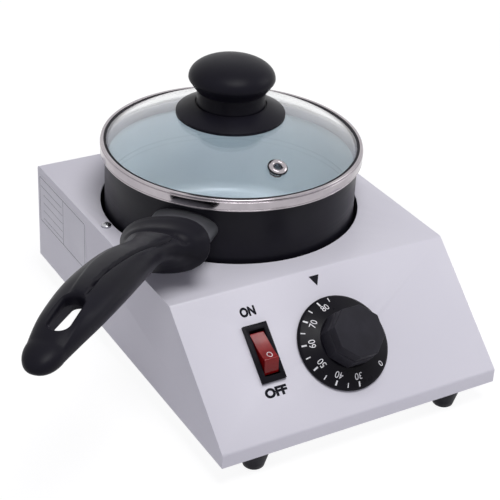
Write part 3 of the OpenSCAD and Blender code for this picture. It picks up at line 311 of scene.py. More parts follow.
class CeramicCoat(SpunMetal):
    """Sol-gel ceramic sprayed inside the pan: pale, satin, fine mineral specks over the turning lines."""

    def tint(self, tree: Tree, where: Socket) -> Socket:
        """Draws the coat's colour with its specks, about 0.7 mm across and 2.4 mm apart.

        Args:
            tree: The material's tree.
            where: Object coordinates.

        Returns:
            The colour.
        """
        cells = add(tree, "ShaderNodeTexVoronoi", {"Vector": where, "Scale": per_mm(2.4)}).outputs["Distance"]
        speck = add(tree, "ShaderNodeMapRange", {
            "Value": cells, "From Min": 0.08, "From Max": 0.2, "To Min": 0.35, "To Max": 0.0}).outputs[0]
        return add(tree, "ShaderNodeMix", {0: speck, 6: super().tint(tree, where), 7: linear("#7F8C96")},
                   data_type="RGBA").outputs[2]


class WovenGlass(Finish):
    """Woven glass fibre: crossing yarns about 1.5 mm wide, warm white, wholly matt."""

    def weave(self, tree: Tree, where: Socket) -> Socket:
        """Returns the height of the crossing yarns."""
        values = {"Vector": where, "Scale": per_mm(self.grain_mm) / 20, "Distortion": 0.6}
        bands = [add(tree, "ShaderNodeTexWave", values, bands_direction=way).outputs[1] for way in "XY"]
        return add(tree, "ShaderNodeMath", {0: bands[0], 1: bands[1]}, operation="MULTIPLY").outputs[0]

    def tint(self, tree: Tree, where: Socket) -> Socket:
        """Returns the yarn's colour, darker in the gaps."""
        values = {0: self.weave(tree, where), 6: linear(self.shade), 7: linear(self.colour)}
        return add(tree, "ShaderNodeMix", values, data_type="RGBA").outputs[2]

    def heights(self, tree: Tree, where: Socket) -> list[tuple[Socket, float]]:
        """Returns the relief of the weave."""
        return [(self.weave(tree, where), self.relief_mm)]


class ClearGlass(Finish):
    """Tempered soda-lime glass: clear, faintly blue-green, with a slight draw in its surface."""

    def extras(self, tree: Tree, shader: bpy.types.Node) -> None:
        """Lets light through, and lets the lamps reach what lies under the glass.

        Args:
            tree: The material's tree.
            shader: Its Principled shader.
        """
        shader.inputs["Transmission Weight"].default_value = 1.0
        shader.inputs["IOR"].default_value = 1.5
        lamps = add(tree, "ShaderNodeLightPath").outputs["Is Shadow Ray"]
        veil = add(tree, "ShaderNodeBsdfTransparent", {"Color": linear(self.shade)})
        both = add(tree, "ShaderNodeMixShader", {0: lamps, 1: shader.outputs[0], 2: veil.outputs[0]})
        out = next(n for n in tree.nodes if n.type == "OUTPUT_MATERIAL")
        tree.links.new(both.outputs[0], out.inputs[0])


class PrintedInk(Finish):
    """Screen-printed ink: thin and matt, with the mesh's slight unevenness in its cover."""


class TranslucentPlastic(MouldedPlastic):
    """Tinted polycarbonate: light enters it a little way, so its edges glow in its own colour."""

    def extras(self, tree: Tree, shader: bpy.types.Node) -> None:
        """Lets light travel about 1.5 mm inside."""
        shader.inputs["Subsurface Weight"].default_value = 0.25
        shader.inputs["Subsurface Scale"].default_value = 0.0015


# Finishes by their real names: colour, shade, patch, roughness and its spread, grain and relief.
# Cool white with a violet cast, satin, its peel only seen along the highlights.
HOUSING_WHITE = PowderCoat(
    "polyester_powder_coat_white", "housing_paint", "#DDDBE4", "#D8D6E0", 90, 0.42, 0.04, 0.9, 0.012)
# Grey flakes of 9 mm on the base plate and the sheets inside.
ZINC = SpangledZinc(
    "galvanised_sheet", "zinc_sheet", "#B4B6BA", "#8F9297", 9, 0.42, 0.12, 0.6, 0.01, metallic=0.9)
# Bright fasteners, a little uneven from the plating bath.
NICKEL = SpunMetal(
    "nickel_plated_steel", "steel_screw", "#B4B4B9", "#9C9CA2", 6, 0.16, 0.05, 0.4, 0.004, metallic=1.0)
# Mirror-bright roll that draws the surround out into a line.
RIM_STEEL = SpunMetal(
    "polished_stainless_steel", "rim_steel", "#B2ACB0", "#A29CA1", 14, 0.13, 0.04, 0.35, 0.003,
    metallic=1.0)
# The same steel where the press left it satin and softer; its darker colour is painted shade on the rim's
# shaded under side.
SKIRT_STEEL_PAINTED_SHADE = SpunMetal(
    "satin_stainless_skirt_painted_shade", "rim_steel", "#94919E", "#86838F", 14, 0.4, 0.04, 0.35, 0.003, metallic=0.8)
# Brushed tube, grey, with a broad soft highlight.
FERRULE_STEEL = SpunMetal(
    "satin_stainless_tube", "ferrule_steel", "#8C8D93", "#7D7E85", 18, 0.38, 0.03, 0.5, 0.001, metallic=0.9)
# Near black and dull, pale only at its edges.
BLACK_RUBBER = Rubber(
    "moulded_nitrile_rubber", "black_rubber", "#17161B", "#1D1C22", 8, 0.62, 0.1, 0.7, 0.03, specular=0.1)
# Grey well wall with wide spinning lines.
ALUMINIUM = SpunMetal(
    "spun_aluminium", "well_aluminium", "#8E9095", "#75777D", 30, 0.4, 0.1, 0.8, 0.02, metallic=1.0)
# Cream cloth, wholly matt.
GLASS_WOOL = WovenGlass(
    "woven_glass_fibre", "glass_wool", "#D9CFAF", "#B3A887", 20, 0.9, 0.05, 1.5, 0.25, specular=0.2)
# Brown-grey tube, blotched by heat.
ELEMENT_SHEATH = SpangledZinc(
    "oxidised_heater_sheath", "element_sheath", "#6B6560", "#4A4642", 5, 0.6, 0.12, 0.7, 0.03, metallic=0.6)
# Small pressed can, pale grey.
CUTOUT_CASE = SpangledZinc(
    "stamped_aluminium_case", "cutout_case", "#A0A3A9", "#888B91", 3, 0.38, 0.08, 0.5, 0.01, metallic=0.9)
# Warm red-brown with darker patches.
COPPER = SpangledZinc(
    "drawn_copper", "copper", "#B97A54", "#8A5236", 7, 0.33, 0.1, 0.5, 0.01, metallic=1.0)
# Cream ceramic with the press tool's tooth.
STEATITE = MouldedPlastic(
    "pressed_steatite", "cream_ceramic", "#E4DCC6", "#D6CCB2", 6, 0.55, 0.08, 0.6, 0.02)
# Warm yellow, bright on its turned edges.
BRASS = SpangledZinc(
    "turned_brass", "brass", "#CDA655", "#A98437", 4, 0.28, 0.08, 0.4, 0.006, metallic=1.0)
# Black with a faint tooth and next to no mirror.
BLACK_NYLON = MouldedPlastic(
    "glass_filled_nylon_black", "black_nylon", "#131217", "#18171D", 10, 0.32, 0.06, 0.6, 0.015,
    specular=0.05)
# Off-white block, slightly waxy.
CREAM_NYLON = MouldedPlastic(
    "natural_polyamide", "cream_nylon", "#E8E3D5", "#DCD5C2", 10, 0.5, 0.06, 0.6, 0.02)
# Small glossy orange bulb under the rocker.
NEON = TranslucentPlastic(
    "neon_lamp_glass", "lamp_glass", "#F3B184", "#E3965F", 3, 0.12, 0.03, 0.5, 0.004)
# Dull brown lead with a soft edge sheen.
WIRE_BROWN = Rubber(
    "silicone_insulation_brown", "brown_wire", "#6E442B", "#5C3722", 5, 0.55, 0.06, 0.5, 0.01)
# Dull brick-red lead.
WIRE_RED = Rubber(
    "silicone_insulation_red", "red_wire", "#A8322A", "#8C271F", 5, 0.55, 0.06, 0.5, 0.01)
# Dull blue lead.
WIRE_BLUE = Rubber(
    "silicone_insulation_blue", "blue_wire", "#2D5AA0", "#234A86", 5, 0.55, 0.06, 0.5, 0.01)
# Green that drifts to yellow along the lead.
WIRE_EARTH = Rubber(
    "silicone_insulation_green_yellow", "earth_wire", "#7FA02B", "#D7C531", 7, 0.55, 0.06, 0.5, 0.01)
# Deep black skirt with a thin sheen at a low angle.
DIAL_BLACK = MouldedPlastic(
    "satin_abs_black", "dial_black", "#0C0B11", "#110F17", 16, 0.3, 0.04, 0.5, 0.006, specular=0.09)
# Charcoal grip, plainly duller than the skirt.
GRIP_BLACK = MouldedPlastic(
    "pressed_phenolic_matt", "grip_black", "#242329", "#2B2A31", 9, 0.46, 0.07, 0.55, 0.02, specular=0.12)
# Dark red that lights up along its edges.
ROCKER_RED = TranslucentPlastic(
    "red_polycarbonate", "rocker_red", "#88080C", "#72060A", 6, 0.2, 0.03, 0.8, 0.002, specular=0.25,
    coat=0.05)
# Black enamel with turning lines just in sight.
PAN_BLACK = SpunMetal(
    "heat_proof_enamel_black", "pan_enamel", "#19181F", "#1E1D25", 22, 0.36, 0.04, 0.7, 0.008,
    specular=0.13)
# Pale blue-grey, specked.
PAN_CERAMIC = CeramicCoat(
    "sol_gel_ceramic_coat", "pan_enamel", "#B5C1C6", "#ADB9BF", 40, 0.32, 0.06, 1.2, 0.02)
# Black, buffed smooth, with soft wide highlights.
HANDLE_BLACK = MouldedPlastic(
    "polished_phenolic_black", "handle_black", "#17161D", "#1B1A22", 24, 0.36, 0.03, 0.9, 0.003,
    specular=0.07)
# Clear, with ripples 45 mm long that bend reflections slightly.
GLASS = ClearGlass(
    "tempered_lid_glass", "lid_glass", "#FFFFFF", "#F4F7FB", 60, 0.0, 0.0, 45, 0.05, specular=0.34)
# Crisp flat white on the dial and the rocker.
WHITE_INK = PrintedInk(
    "epoxy_ink_white", "dial_black", "#F2F2F4", "#DCDCE0", 3, 0.5, 0.06, 0.4, 0.006)
# Crisp flat black on the panel.
BLACK_INK = PrintedInk(
    "epoxy_ink_black", "housing_paint", "#0E0D16", "#15141D", 3, 0.5, 0.06, 0.4, 0.004, specular=0.1)
# Matt label, a shade lighter than the paint round it.
LABEL_WHITE = PrintedInk(
    "matt_vinyl_label", "housing_paint", "#E9E8EE", "#E2E1E8", 20, 0.55, 0.05, 1.2, 0.01)
# Grey hairlines on the label.
LABEL_GREY = PrintedInk(
    "label_keyline_ink", "housing_paint", "#6A6874", "#767480", 3, 0.5, 0.05, 0.6, 0.006)


# -------------------------------------------------------------------- meshes


def moved(x: float = 0.0, y: float = 0.0, z: float = 0.0) -> Matrix:
    """Returns a shift."""
    return Matrix.Translation((x, y, z))


def turned(degrees: float, axis: str) -> Matrix:
    """Returns a turn about a main axis."""
    return Matrix.Rotation(math.radians(degrees), 4, axis)


def polar(radius: float, angle: float) -> tuple[float, float]:
    """Returns the point at a radius and an angle in radians."""
    return radius * math.cos(angle), radius * math.sin(angle)


def as_data(name: str, bm: Mesh) -> bpy.types.Mesh:
    """Turns a bmesh into mesh data.

    Args:
        name: The data's name.
        bm: The bmesh, which is used up.

    Returns:
        The new data.
    """
    data = bpy.data.meshes.new(name)
    bm.to_mesh(data)
    bm.free()
    return data


def linked(name: str, data: bpy.types.ID) -> bpy.types.Object:
    """Puts data into the scene.

    Args:
        name: The object's name.
        data: A mesh, a curve, a lamp or a camera.

    Returns:
        The new object that carries it.
    """
    obj = bpy.data.objects.new(name, data)
    bpy.context.collection.objects.link(obj)
    return obj


def evaluated(obj: bpy.types.Object) -> Mesh:
    """Works out an object's modifiers.

    Args:
        obj: The object, which stays as it is.

    Returns:
        The mesh that it has after them.
    """
    bpy.context.view_layer.update()
    bm = bmesh.new()
    bm.from_mesh(bpy.data.meshes.new_from_object(obj.evaluated_get(bpy.context.evaluated_depsgraph_get())))
    return bm


def between(line: Sequence[Sequence[float]], x: float) -> float:
    """Reads a line of straight stretches, which is level past its end.

    Args:
        line: Its points, from the smallest x up.
        x: Where it is read.

    Returns:
        The line's second coordinate there.
    """
    for (x0, y0), (x1, y1) in zip(line, line[1:]):
        if x <= x1:
            return y0 + (y1 - y0) * (x - x0) / (x1 - x0)
    return line[-1][1]


def fillet(corners: Sequence[tuple[float, float, float]], steps: int = 6, closed: bool = True) -> Profile:
    """Rounds the corners of an outline.

    Args:
        corners: Two coordinates and a radius for each corner.
        steps: Short edges in each rounded corner.
        closed: Whether the last corner joins the first.

    Returns:
        The rounded outline.
    """
    out: Profile = []
    count = len(corners)
    for i, (x, y, radius) in enumerate(corners):
        here = Vector((x, y))
        if radius <= 0 or (not closed and i in (0, count - 1)):
            out.append((x, y))
            continue
        before = Vector(corners[i - 1][:2]) - here
        after = Vector(corners[(i + 1) % count][:2]) - here
        half = before.angle(after) / 2
        cut = min(radius / math.tan(half), before.length * 0.49, after.length * 0.49)
        radius = cut * math.tan(half)
        centre = here + (before.normalized() + after.normalized()).normalized() * radius / math.sin(half)
        first = here + before.normalized() * cut - centre
        turn = (here + after.normalized() * cut - centre).angle_signed(first)
        for k in range(steps + 1):
            c, s = math.cos(turn * k / steps), math.sin(turn * k / steps)
            out.append(tuple(centre + Vector((first.x * c - first.y * s, first.x * s + first.y * c))))
    return out


def lathe(profile: Profile, steps: int = 128,
          colours: Callable[[float, float], int] = lambda radius, height: 0) -> Mesh:
    """Turns a closed outline round Z; points on the axis become poles.

    Args:
        profile: Radius and height of each point.
        steps: Segments round the axis.
        colours: Gives the material's number from a face's middle radius and height.

    Returns:
        The closed mesh, in millimetres.
    """
    bm = bmesh.new()
    rings = []
    for radius, height in profile:
        if radius < 1e-6:
            rings.append([bm.verts.new((0, 0, height))] * steps)
        else:
            rings.append([bm.verts.new((*polar(radius, math.tau * k / steps), height)) for k in range(steps)])
    for i, low in enumerate(rings):
        high = rings[(i + 1) % len(rings)]
        middle = [(a + b) / 2 for a, b in zip(profile[i], profile[(i + 1) % len(profile)])]
        for k in range(steps):
            n = (k + 1) % steps
            around = list(dict.fromkeys((low[k], low[n], high[n], high[k])))
            if len(around) > 2:
                bm.faces.new(around).material_index = colours(*middle)
    bmesh.ops.recalc_face_normals(bm, faces=bm.faces)
    return bm


def rod(radius: float, low: float, high: float, steps: int) -> Mesh:
    """Returns a plain rod along Z, for cutting a round hole."""
    return lathe([(0, low), (radius, low), (radius, high), (0, high)], steps)


def loft(rings: Sequence[Sequence[Vector]], close: bool = True) -> Mesh:
    """Skins rings of equal length and closes both ends.

    Args:
        rings: The points of each ring, in order.
        close: Whether the ends get a face.

    Returns:
        The mesh, in millimetres.
    """
    bm = bmesh.new()
    made = [[bm.verts.new(p) for p in ring] for ring in rings]
    for low, high in zip(made, made[1:]):
        for k in range(len(low)):
            n = (k + 1) % len(low)
            bm.faces.new((low[k], low[n], high[n], high[k]))
    if close:
        bm.faces.new(made[0][::-1])
        bm.faces.new(made[-1])
    bmesh.ops.recalc_face_normals(bm, faces=bm.faces)
    return bm


def spline(points: Sequence[Sequence[float]], steps: int) -> list[list[float]]:
    """Draws a smooth curve through points of any dimension.

    Args:
        points: What it passes through.
        steps: Points on each span.

    Returns:
        The points of the curve, ending on the last one given.
    """
    padded = [points[0], *points, points[-1]]
    out = []
    for p0, p1, p2, p3 in zip(padded, padded[1:], padded[2:], padded[3:]):
        for k in range(steps):
            t = k / steps
            out.append([b + 0.5 * t * (c - a + t * (2 * a - 5 * b + 4 * c - d + t * (3 * (b - c) + d - a)))
                        for a, b, c, d in zip(p0, p1, p2, p3)])
    return out + [list(points[-1])]


def ramp(x: float, start: float, stop: float) -> float:
    """Returns a smooth step from 0 at start to 1 at stop."""
    t = min(1.0, max(0.0, (x - start) / (stop - start)))
    return t * t * (3 - 2 * t)


def carve(bm: Mesh, tools: Iterable[Mesh]) -> Mesh:
    """Cuts tools out of a closed mesh.

    Args:
        bm: The mesh to cut; it is used up.
        tools: Closed meshes to take away; they are used up.

    Returns:
        What is left.
    """
    objects = [linked("blank", as_data("blank", part)) for part in (bm, *tools)]
    for tool in objects[1:]:
        cut = objects[0].modifiers.new("cut", "BOOLEAN")
        cut.operation, cut.solver, cut.object = "DIFFERENCE", "EXACT", tool
    result = evaluated(objects[0])
    for obj in objects:
        bpy.data.objects.remove(obj)
    return result


def lettering(words: str, height: float, weight: float, lay: Callable[[float, float], Vector]) -> Mesh:
    """Lays flat letters on a surface.

    Args:
        words: What is printed.
        height: Height of a capital in millimetres.
        weight: How far the strokes are thickened, in millimetres.
        lay: Gives the place of a point from its distance right of and above the words' middle.

    Returns:
        The letters' faces, in millimetres.
    """
    curve = bpy.data.curves.new("words", "FONT")
    curve.body, curve.size, curve.offset = words, height / CAPITAL_SHARE, weight
    curve.align_x, curve.align_y = "CENTER", "CENTER"
    curve.fill_mode = "FRONT"
    obj = linked("words", curve)
    bm = evaluated(obj)
    bpy.data.objects.remove(obj)
    bmesh.ops.remove_doubles(bm, verts=bm.verts, dist=1e-4)
    low = [min(v.co[i] for v in bm.verts) for i in (0, 1)]
    high = [max(v.co[i] for v in bm.verts) for i in (0, 1)]
    for vert in bm.verts:
        vert.co = lay(vert.co.x - (low[0] + high[0]) / 2, vert.co.y - (low[1] + high[1]) / 2)
    return bm


def together(parts: Iterable[Mesh]) -> Mesh:
    """Joins meshes into one.

    Args:
        parts: The meshes, which are used up.

    Returns:
        The whole.
    """
    whole = bmesh.new()
    for part in parts:
        data = as_data("part", part)
        whole.from_mesh(data)
        bpy.data.meshes.remove(data)
    return whole


def piece(name: str, bm: Mesh, body: Body, finishes: Sequence[Finish], place: Matrix = Matrix(),
          stands_for: Sequence[str] = (), crease: float = 32.0, bevel: float = 0.0) -> bpy.types.Object:
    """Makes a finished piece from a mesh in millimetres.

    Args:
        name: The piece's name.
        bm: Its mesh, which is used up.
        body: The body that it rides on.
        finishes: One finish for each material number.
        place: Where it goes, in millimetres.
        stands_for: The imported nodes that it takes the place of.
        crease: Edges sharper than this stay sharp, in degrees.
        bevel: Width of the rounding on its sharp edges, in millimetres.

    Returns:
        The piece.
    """
    bm.transform(METRES @ place)
    mesh = as_data(name, bm)
    for finish in finishes:
        mesh.materials.append(finish.material())
    mesh.shade_smooth()
    obj = linked(name, mesh)
    if bevel > 0:
        edge = obj.modifiers.new("rounded_edges", "BEVEL")
        edge.width, edge.segments, edge.limit_method = bevel / 1000, 3, "ANGLE"
        edge.angle_limit, edge.harden_normals = math.radians(crease), True
    else:
        mesh.set_sharp_from_angle(angle=math.radians(crease))
    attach(obj, body.value)
    if stands_for:
        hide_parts(*stands_for)
    LOG.info("%s: %d faces on %s", name, len(mesh.polygons), body.value)
    return obj


def dressed_copy(node: str, body: Body, finish: Finish, bevel: float,
                 crease: float = 32.0) -> bpy.types.Object:
    """Puts a merged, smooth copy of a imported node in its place.

    Args:
        node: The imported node.
        body: The body that it is on.
        finish: Its finish.
        bevel: Width of the rounding on its sharp edges, in millimetres.
        crease: Edges sharper than this count as sharp, in degrees.

    Returns:
        The copy.
    """
    bm = bmesh.new()
    bm.from_mesh(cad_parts[node].data)
    bmesh.ops.remove_doubles(bm, verts=bm.verts, dist=MERGE_METRES)
    bmesh.ops.dissolve_limit(bm, angle_limit=math.radians(FLAT_DEGREES), verts=bm.verts, edges=bm.edges)
    bm.transform(METRES.inverted())
    return piece(node + "_finished", bm, body, [finish], stands_for=[node], crease=crease, bevel=bevel)


# ------------------------------------------------------- repeats, as node trees


@dataclass(frozen=True)
class BarRow:
    """A row or an arc of equal thin bars, made by Geometry Nodes.

    Attributes:
        count: How many bars there are.
        size: Length, width and thickness of a bar in millimetres.
        pitch: Step from bar to bar in millimetres, as x, y and z.
        first: Angle of the first bar, in degrees.
        turn: Angle from bar to bar, in degrees.
        radius: Distance of a bar's middle from the point that it turns about.
        lift: Height of a bar's middle above that point.
        tilt: How far a bar leans outwards and down, in degrees.
    """

    count: int
    size: tuple[float, float, float]
    pitch: tuple[float, float, float] = (0.0, 0.0, 0.0)
    first: float = 0.0
    turn: float = 0.0
    radius: float = 0.0
    lift: float = 0.0
    tilt: float = 0.0

    def tree(self, finish: Finish) -> tuple[Tree, dict[str, Any]]:
        """Builds the node tree.

        Args:
            finish: What the bars are finished in.

        Returns:
            The tree and the value for each of its named inputs.
        """
        tree = bpy.data.node_groups.new("bar_row", "GeometryNodeTree")
        values: dict[str, Any] = {
            "Count": self.count, "Bar Size": self.size, "Pitch": self.pitch,
            "First Angle": math.radians(self.first), "Angle Step": math.radians(self.turn),
            "Radius": self.radius, "Lift": self.lift, "Tilt": math.radians(self.tilt)}
        kinds = {int: "NodeSocketInt", tuple: "NodeSocketVector", float: "NodeSocketFloat"}
        for name, value in values.items():
            tree.interface.new_socket(name, in_out="INPUT", socket_type=kinds[type(value)])
        tree.interface.new_socket("Geometry", in_out="OUTPUT", socket_type="NodeSocketGeometry")
        given = add(tree, "NodeGroupInput").outputs
        bar = add(tree, "GeometryNodeMeshCube", {"Size": given["Bar Size"]}).outputs[0]
        lean = add(tree, "ShaderNodeCombineXYZ", {1: given["Tilt"]}).outputs[0]
        out = add(tree, "ShaderNodeCombineXYZ", {0: given["Radius"], 2: given["Lift"]}).outputs[0]
        set_out = add(tree, "GeometryNodeTransform", {
            "Geometry": bar, "Translation": out, "Rotation": lean}).outputs[0]
        points = add(tree, "GeometryNodeMeshLine", {
            "Count": given["Count"], "Offset": given["Pitch"]}).outputs[0]
        index = add(tree, "GeometryNodeInputIndex").outputs[0]
        angle = add(tree, "ShaderNodeMath", {0: index, 1: given["Angle Step"], 2: given["First Angle"]},
                    operation="MULTIPLY_ADD").outputs[0]
        facing = add(tree, "ShaderNodeCombineXYZ", {2: angle}).outputs[0]
        row = add(tree, "GeometryNodeInstanceOnPoints", {
            "Points": points, "Instance": set_out, "Rotation": facing})
        solid = add(tree, "GeometryNodeRealizeInstances", {"Geometry": row.outputs[0]}).outputs[0]
        done = add(tree, "GeometryNodeSetMaterial", {
            "Geometry": solid, "Material": finish.material()}).outputs[0]
        add(tree, "NodeGroupOutput", {"Geometry": done})
        return tree, values

    def mesh(self, finish: Finish) -> Mesh:
        """Runs the tree and keeps its result as a plain mesh.

        Args:
            finish: What the bars are finished in.

        Returns:
            The bars, in millimetres.
        """
        tree, values = self.tree(finish)
        carrier = linked("bars", bpy.data.meshes.new("bars"))
        modifier = carrier.modifiers.new("bars", "NODES")
        modifier.node_group = tree
        for item in tree.interface.items_tree:
            if item.in_out == "INPUT":
                modifier[item.identifier] = values[item.name]
        bm = evaluated(carrier)
        carrier.modifiers.remove(modifier)
        bpy.data.objects.remove(carrier)
        return bm


# -------------------------------------------------------------- sub-assemblies


@dataclass(frozen=True)
class Panel:
    """The sloping control panel's plane."""

    front_y: float = -123.5
    lip_z: float = 22.4
    run: float = 63.8
    rise: float = 56.2

    def place(self, x: float = 0.0, up: float = 0.0, out: float = 0.0) -> Matrix:
        """Returns the place x across, up along the slope and out of the panel."""
        slope = Matrix.Rotation(math.atan2(self.rise, self.run), 4, "X")
        return moved(x, self.front_y, self.lip_z) @ slope @ moved(0, up, out)


PANEL = Panel()
WELL = moved(-1.2, 33.9)
HANDLE_WAY = WELL @ turned(-139, "Z")


@dataclass(frozen=True)
class Housing:
    """Folded sheet-steel housing with its base, feet, print and blank side label."""

    side_x: float = -90.0
    label_y: float = 85.5
    label_z: float = 56.8
    label_w: float = 72.0
    label_h: float = 34.0
    label_corner: float = 2.4
    ink: float = 0.06
    stroke: float = 0.4
    mark: Profile = field(default_factory=lambda: [(-3.7, 81.2), (-0.4, 75.0), (2.9, 81.2)])

    def build(self) -> None:
        """Builds the housing's pieces."""
        dressed_copy("housing_shell", Body.BASE, HOUSING_WHITE, 0.9)
        dressed_copy("rubber_feet", Body.BASE, BLACK_RUBBER, 0.5)
        dressed_copy("base_plate", Body.BASE, ZINC, 0.2)
        for node in ("base_screws", "foot_screws", "well_screws"):
            dressed_copy(node, Body.BASE, NICKEL, 0.12)
        self.print_panel()
        self.stick_label()

    def print_panel(self) -> None:
        """Prints ON, OFF and the dial's index mark on the panel."""
        words = [self.word("ON", -47.2, 71.05, 4.9, 9.6), self.word("OFF", -47.6, 24.5, 4.8, 13.8)]
        arrow = bmesh.new()
        arrow.faces.new([arrow.verts.new((x, up, self.ink)) for x, up in self.mark])
        piece("panel_print", together([*words, arrow]), Body.BASE, [BLACK_INK], PANEL.place())

    def word(self, text: str, x: float, up: float, height: float, width: float) -> Mesh:
        """Returns a printed word.

        Args:
            text: What it says.
            x: Its middle across the panel.
            up: Its middle along the slope.
            height: Height of its capitals.
            width: Its full width.

        Returns:
            The letters in the panel's plane.
        """
        bm = lettering(text, height, self.stroke, lambda right, above: Vector((right, above, 0)))
        spread = max(v.co.x for v in bm.verts) * 2
        for vert in bm.verts:
            vert.co = Vector((x + vert.co.x * width / spread, up + vert.co.y, self.ink))
        return bm

    def stick_label(self) -> None:
        """Sticks a blank write-on label with ruled fields on the left side."""
        side = moved(self.side_x, self.label_y, self.label_z) @ turned(-90, "Y")

        def outline(inset: float, height: float) -> list[Vector]:
            """Returns the label's outline, drawn in by inset."""
            h, w, corner = self.label_h / 2 - inset, self.label_w / 2 - inset, self.label_corner - inset
            corners = [(-h, -w, corner), (h, -w, corner), (h, w, corner), (-h, w, corner)]
            return [Vector((*point, height)) for point in fillet(corners)]

        sheet = loft([outline(0.0, 0.02), outline(0.0, 0.14), outline(0.06, 0.18)])
        piece("side_label", sheet, Body.BASE, [LABEL_WHITE], side)
        printed = 0.2
        lines = [loft([outline(1.3, printed), outline(1.75, printed)], close=False)]
        for row, x, y in ((BarRow(4, (0.3, 30.0, 0.02), pitch=(-5.6, 0, 0)), 4.6, 14.0),
                          (BarRow(1, (0.35, 33.0, 0.02)), 9.6, 16.6),
                          (BarRow(1, (30.5, 0.4, 0.02)), 0, -2.0)):
            lines.append(row.mesh(LABEL_GREY))
            lines[-1].transform(moved(x, y, printed))
        piece("side_label_lines", together(lines), Body.BASE, [LABEL_GREY], side)


@dataclass(frozen=True)
class Dial:
    """Temperature dial: skirt with its scale, and an eight-sided grip."""

    x: float = 1.2
    up: float = 39.7
    edge_r: float = 27.7
    cone_r: float = 26.5
    cone_low: float = 2.5
    top_r: float = 16.4
    top_h: float = 6.9
    hole_r: float = 14.6
    thick: float = 1.8
    first_deg: float = 89.7
    last_deg: float = 268.7
    tick_r: tuple[float, float] = (25.0, 25.1)
    label_deg: tuple[float, ...] = (102.8, 137.9, 170.4, 203.3, 236.2, 268.7)
    zero: tuple[float, float] = (-46.7, 24.0)
    digit_h: float = 3.5

    def height(self, radius: float) -> float:
        """Returns the cone's height above the panel at a radius."""
        share = (self.cone_r - radius) / (self.cone_r - self.top_r)
        return self.cone_low + share * (self.top_h - self.cone_low)

    def build(self) -> None:
        """Builds the dial's pieces."""
        place = PANEL.place(self.x, self.up)
        low = self.top_h - self.thick
        skirt = lathe(fillet([
            (self.edge_r - 2, 0.6, 0.2), (self.edge_r, 0.6, 0.3), (self.edge_r, 1.6, 0.5),
            (self.cone_r, self.cone_low, 0.8), (self.top_r, self.top_h, 0.3), (self.hole_r, self.top_h, 0.2),
            (self.hole_r, low, 0.2), (self.top_r, low, 0.3)]), 160)
        piece("dial_face", skirt, Body.DIAL, [DIAL_BLACK], place, ["dial_skirt"])
        dressed_copy("dial_grip", Body.DIAL, GRIP_BLACK, 0.28, 20)
        lean = math.degrees(math.atan2(self.top_h - self.cone_low, self.cone_r - self.top_r))
        step = (self.last_deg - self.first_deg) / 11
        ticks = [BarRow(6, size, first=first, turn=2 * step, radius=radius, lift=self.height(radius) + 0.03,
                        tilt=lean).mesh(WHITE_INK)
                 for size, first, radius in (((2.9, 0.95, 0.06), self.first_deg + step, self.tick_r[0]),
                                             ((2.7, 0.6, 0.06), self.first_deg, self.tick_r[1]))]
        labels = [self.label(str(80 - 10 * k), angle, 20.9 if k else 21.6)
                  for k, angle in enumerate(self.label_deg)]
        labels.append(self.label("0", *self.zero))
        piece("dial_print", together([*ticks, *labels]), Body.DIAL, [WHITE_INK], place)

    def label(self, text: str, angle: float, radius: float) -> Mesh:
        """Prints a number on the cone, its top outwards.

        Args:
            text: The number.
            angle: Where it is round the dial, in degrees.
            radius: Distance of its middle from the dial's axis.

        Returns:
            The digits on the cone.
        """
        out = Vector((math.cos(math.radians(angle)), math.sin(math.radians(angle)), 0))
        along = Vector((out.y, -out.x, 0))

        def lay(right: float, above: float) -> Vector:
            """Returns the point on the cone."""
            spot = out * (radius + above) + along * right
            return spot + Vector((0, 0, self.height(spot.length) + 0.1))

        return lettering(text, self.digit_h, 0.0, lay)


@dataclass(frozen=True)
class Switch:
    """Rocker switch: black bezel and a translucent red rocker, pressed at its upper end."""

    x: float = -46.8
    up: float = 46.6
    width: float = 8.8
    mark: tuple[float, float] = (0.4, -2.6)
    mark_r: tuple[float, float] = (1.28, 1.6)

    def top(self) -> Profile:
        """Returns the line along the rocker's top, from its raised lower end to its pressed upper end."""
        hollow = [(-5.0, 7.2), (-3.4, 6.05), (-1.0, 4.85), (1.8, 3.75), (5.2, 2.58), (8.6, 1.53),
                  (11.6, 0.63)]
        return [(y, height) for y, height in spline(hollow, 5)]

    def build(self) -> None:
        """Builds the bezel, the rocker and its printed ring."""
        place = PANEL.place(self.x, self.up)
        dressed_copy("switch_body", Body.BASE, BLACK_NYLON, 0.5)
        outline = [(-12.2, 0.6), (-5.9, 7.0), (-5.5, 7.25), *self.top(), (11.75, 0.3), (10.6, -1.6),
                   (4, -4.4), (-4, -4.4), (-10.8, -1.6)]
        cap = loft([[Vector((x, y, h)) for y, h in outline] for x in (-self.width / 2, self.width / 2)])
        piece("rocker_cap", cap, Body.ROCKER, [ROCKER_RED], place, ["rocker"], bevel=0.45)
        piece("rocker_mark", self.ring(), Body.ROCKER, [WHITE_INK], place)

    def ring(self, steps: int = 40) -> Mesh:
        """Returns the ring that stands for off, just above the rocker's hollow.

        Args:
            steps: Segments round the ring.

        Returns:
            The flat ring.
        """
        line = self.top()
        rings = []
        for radius in self.mark_r:
            spots = [polar(radius, math.tau * k / steps) for k in range(steps)]
            spots = [(self.mark[0] + x, self.mark[1] + y) for x, y in spots]
            rings.append([Vector((x, y, between(line, y) + 0.08)) for x, y in spots])
        return loft(rings, close=False)


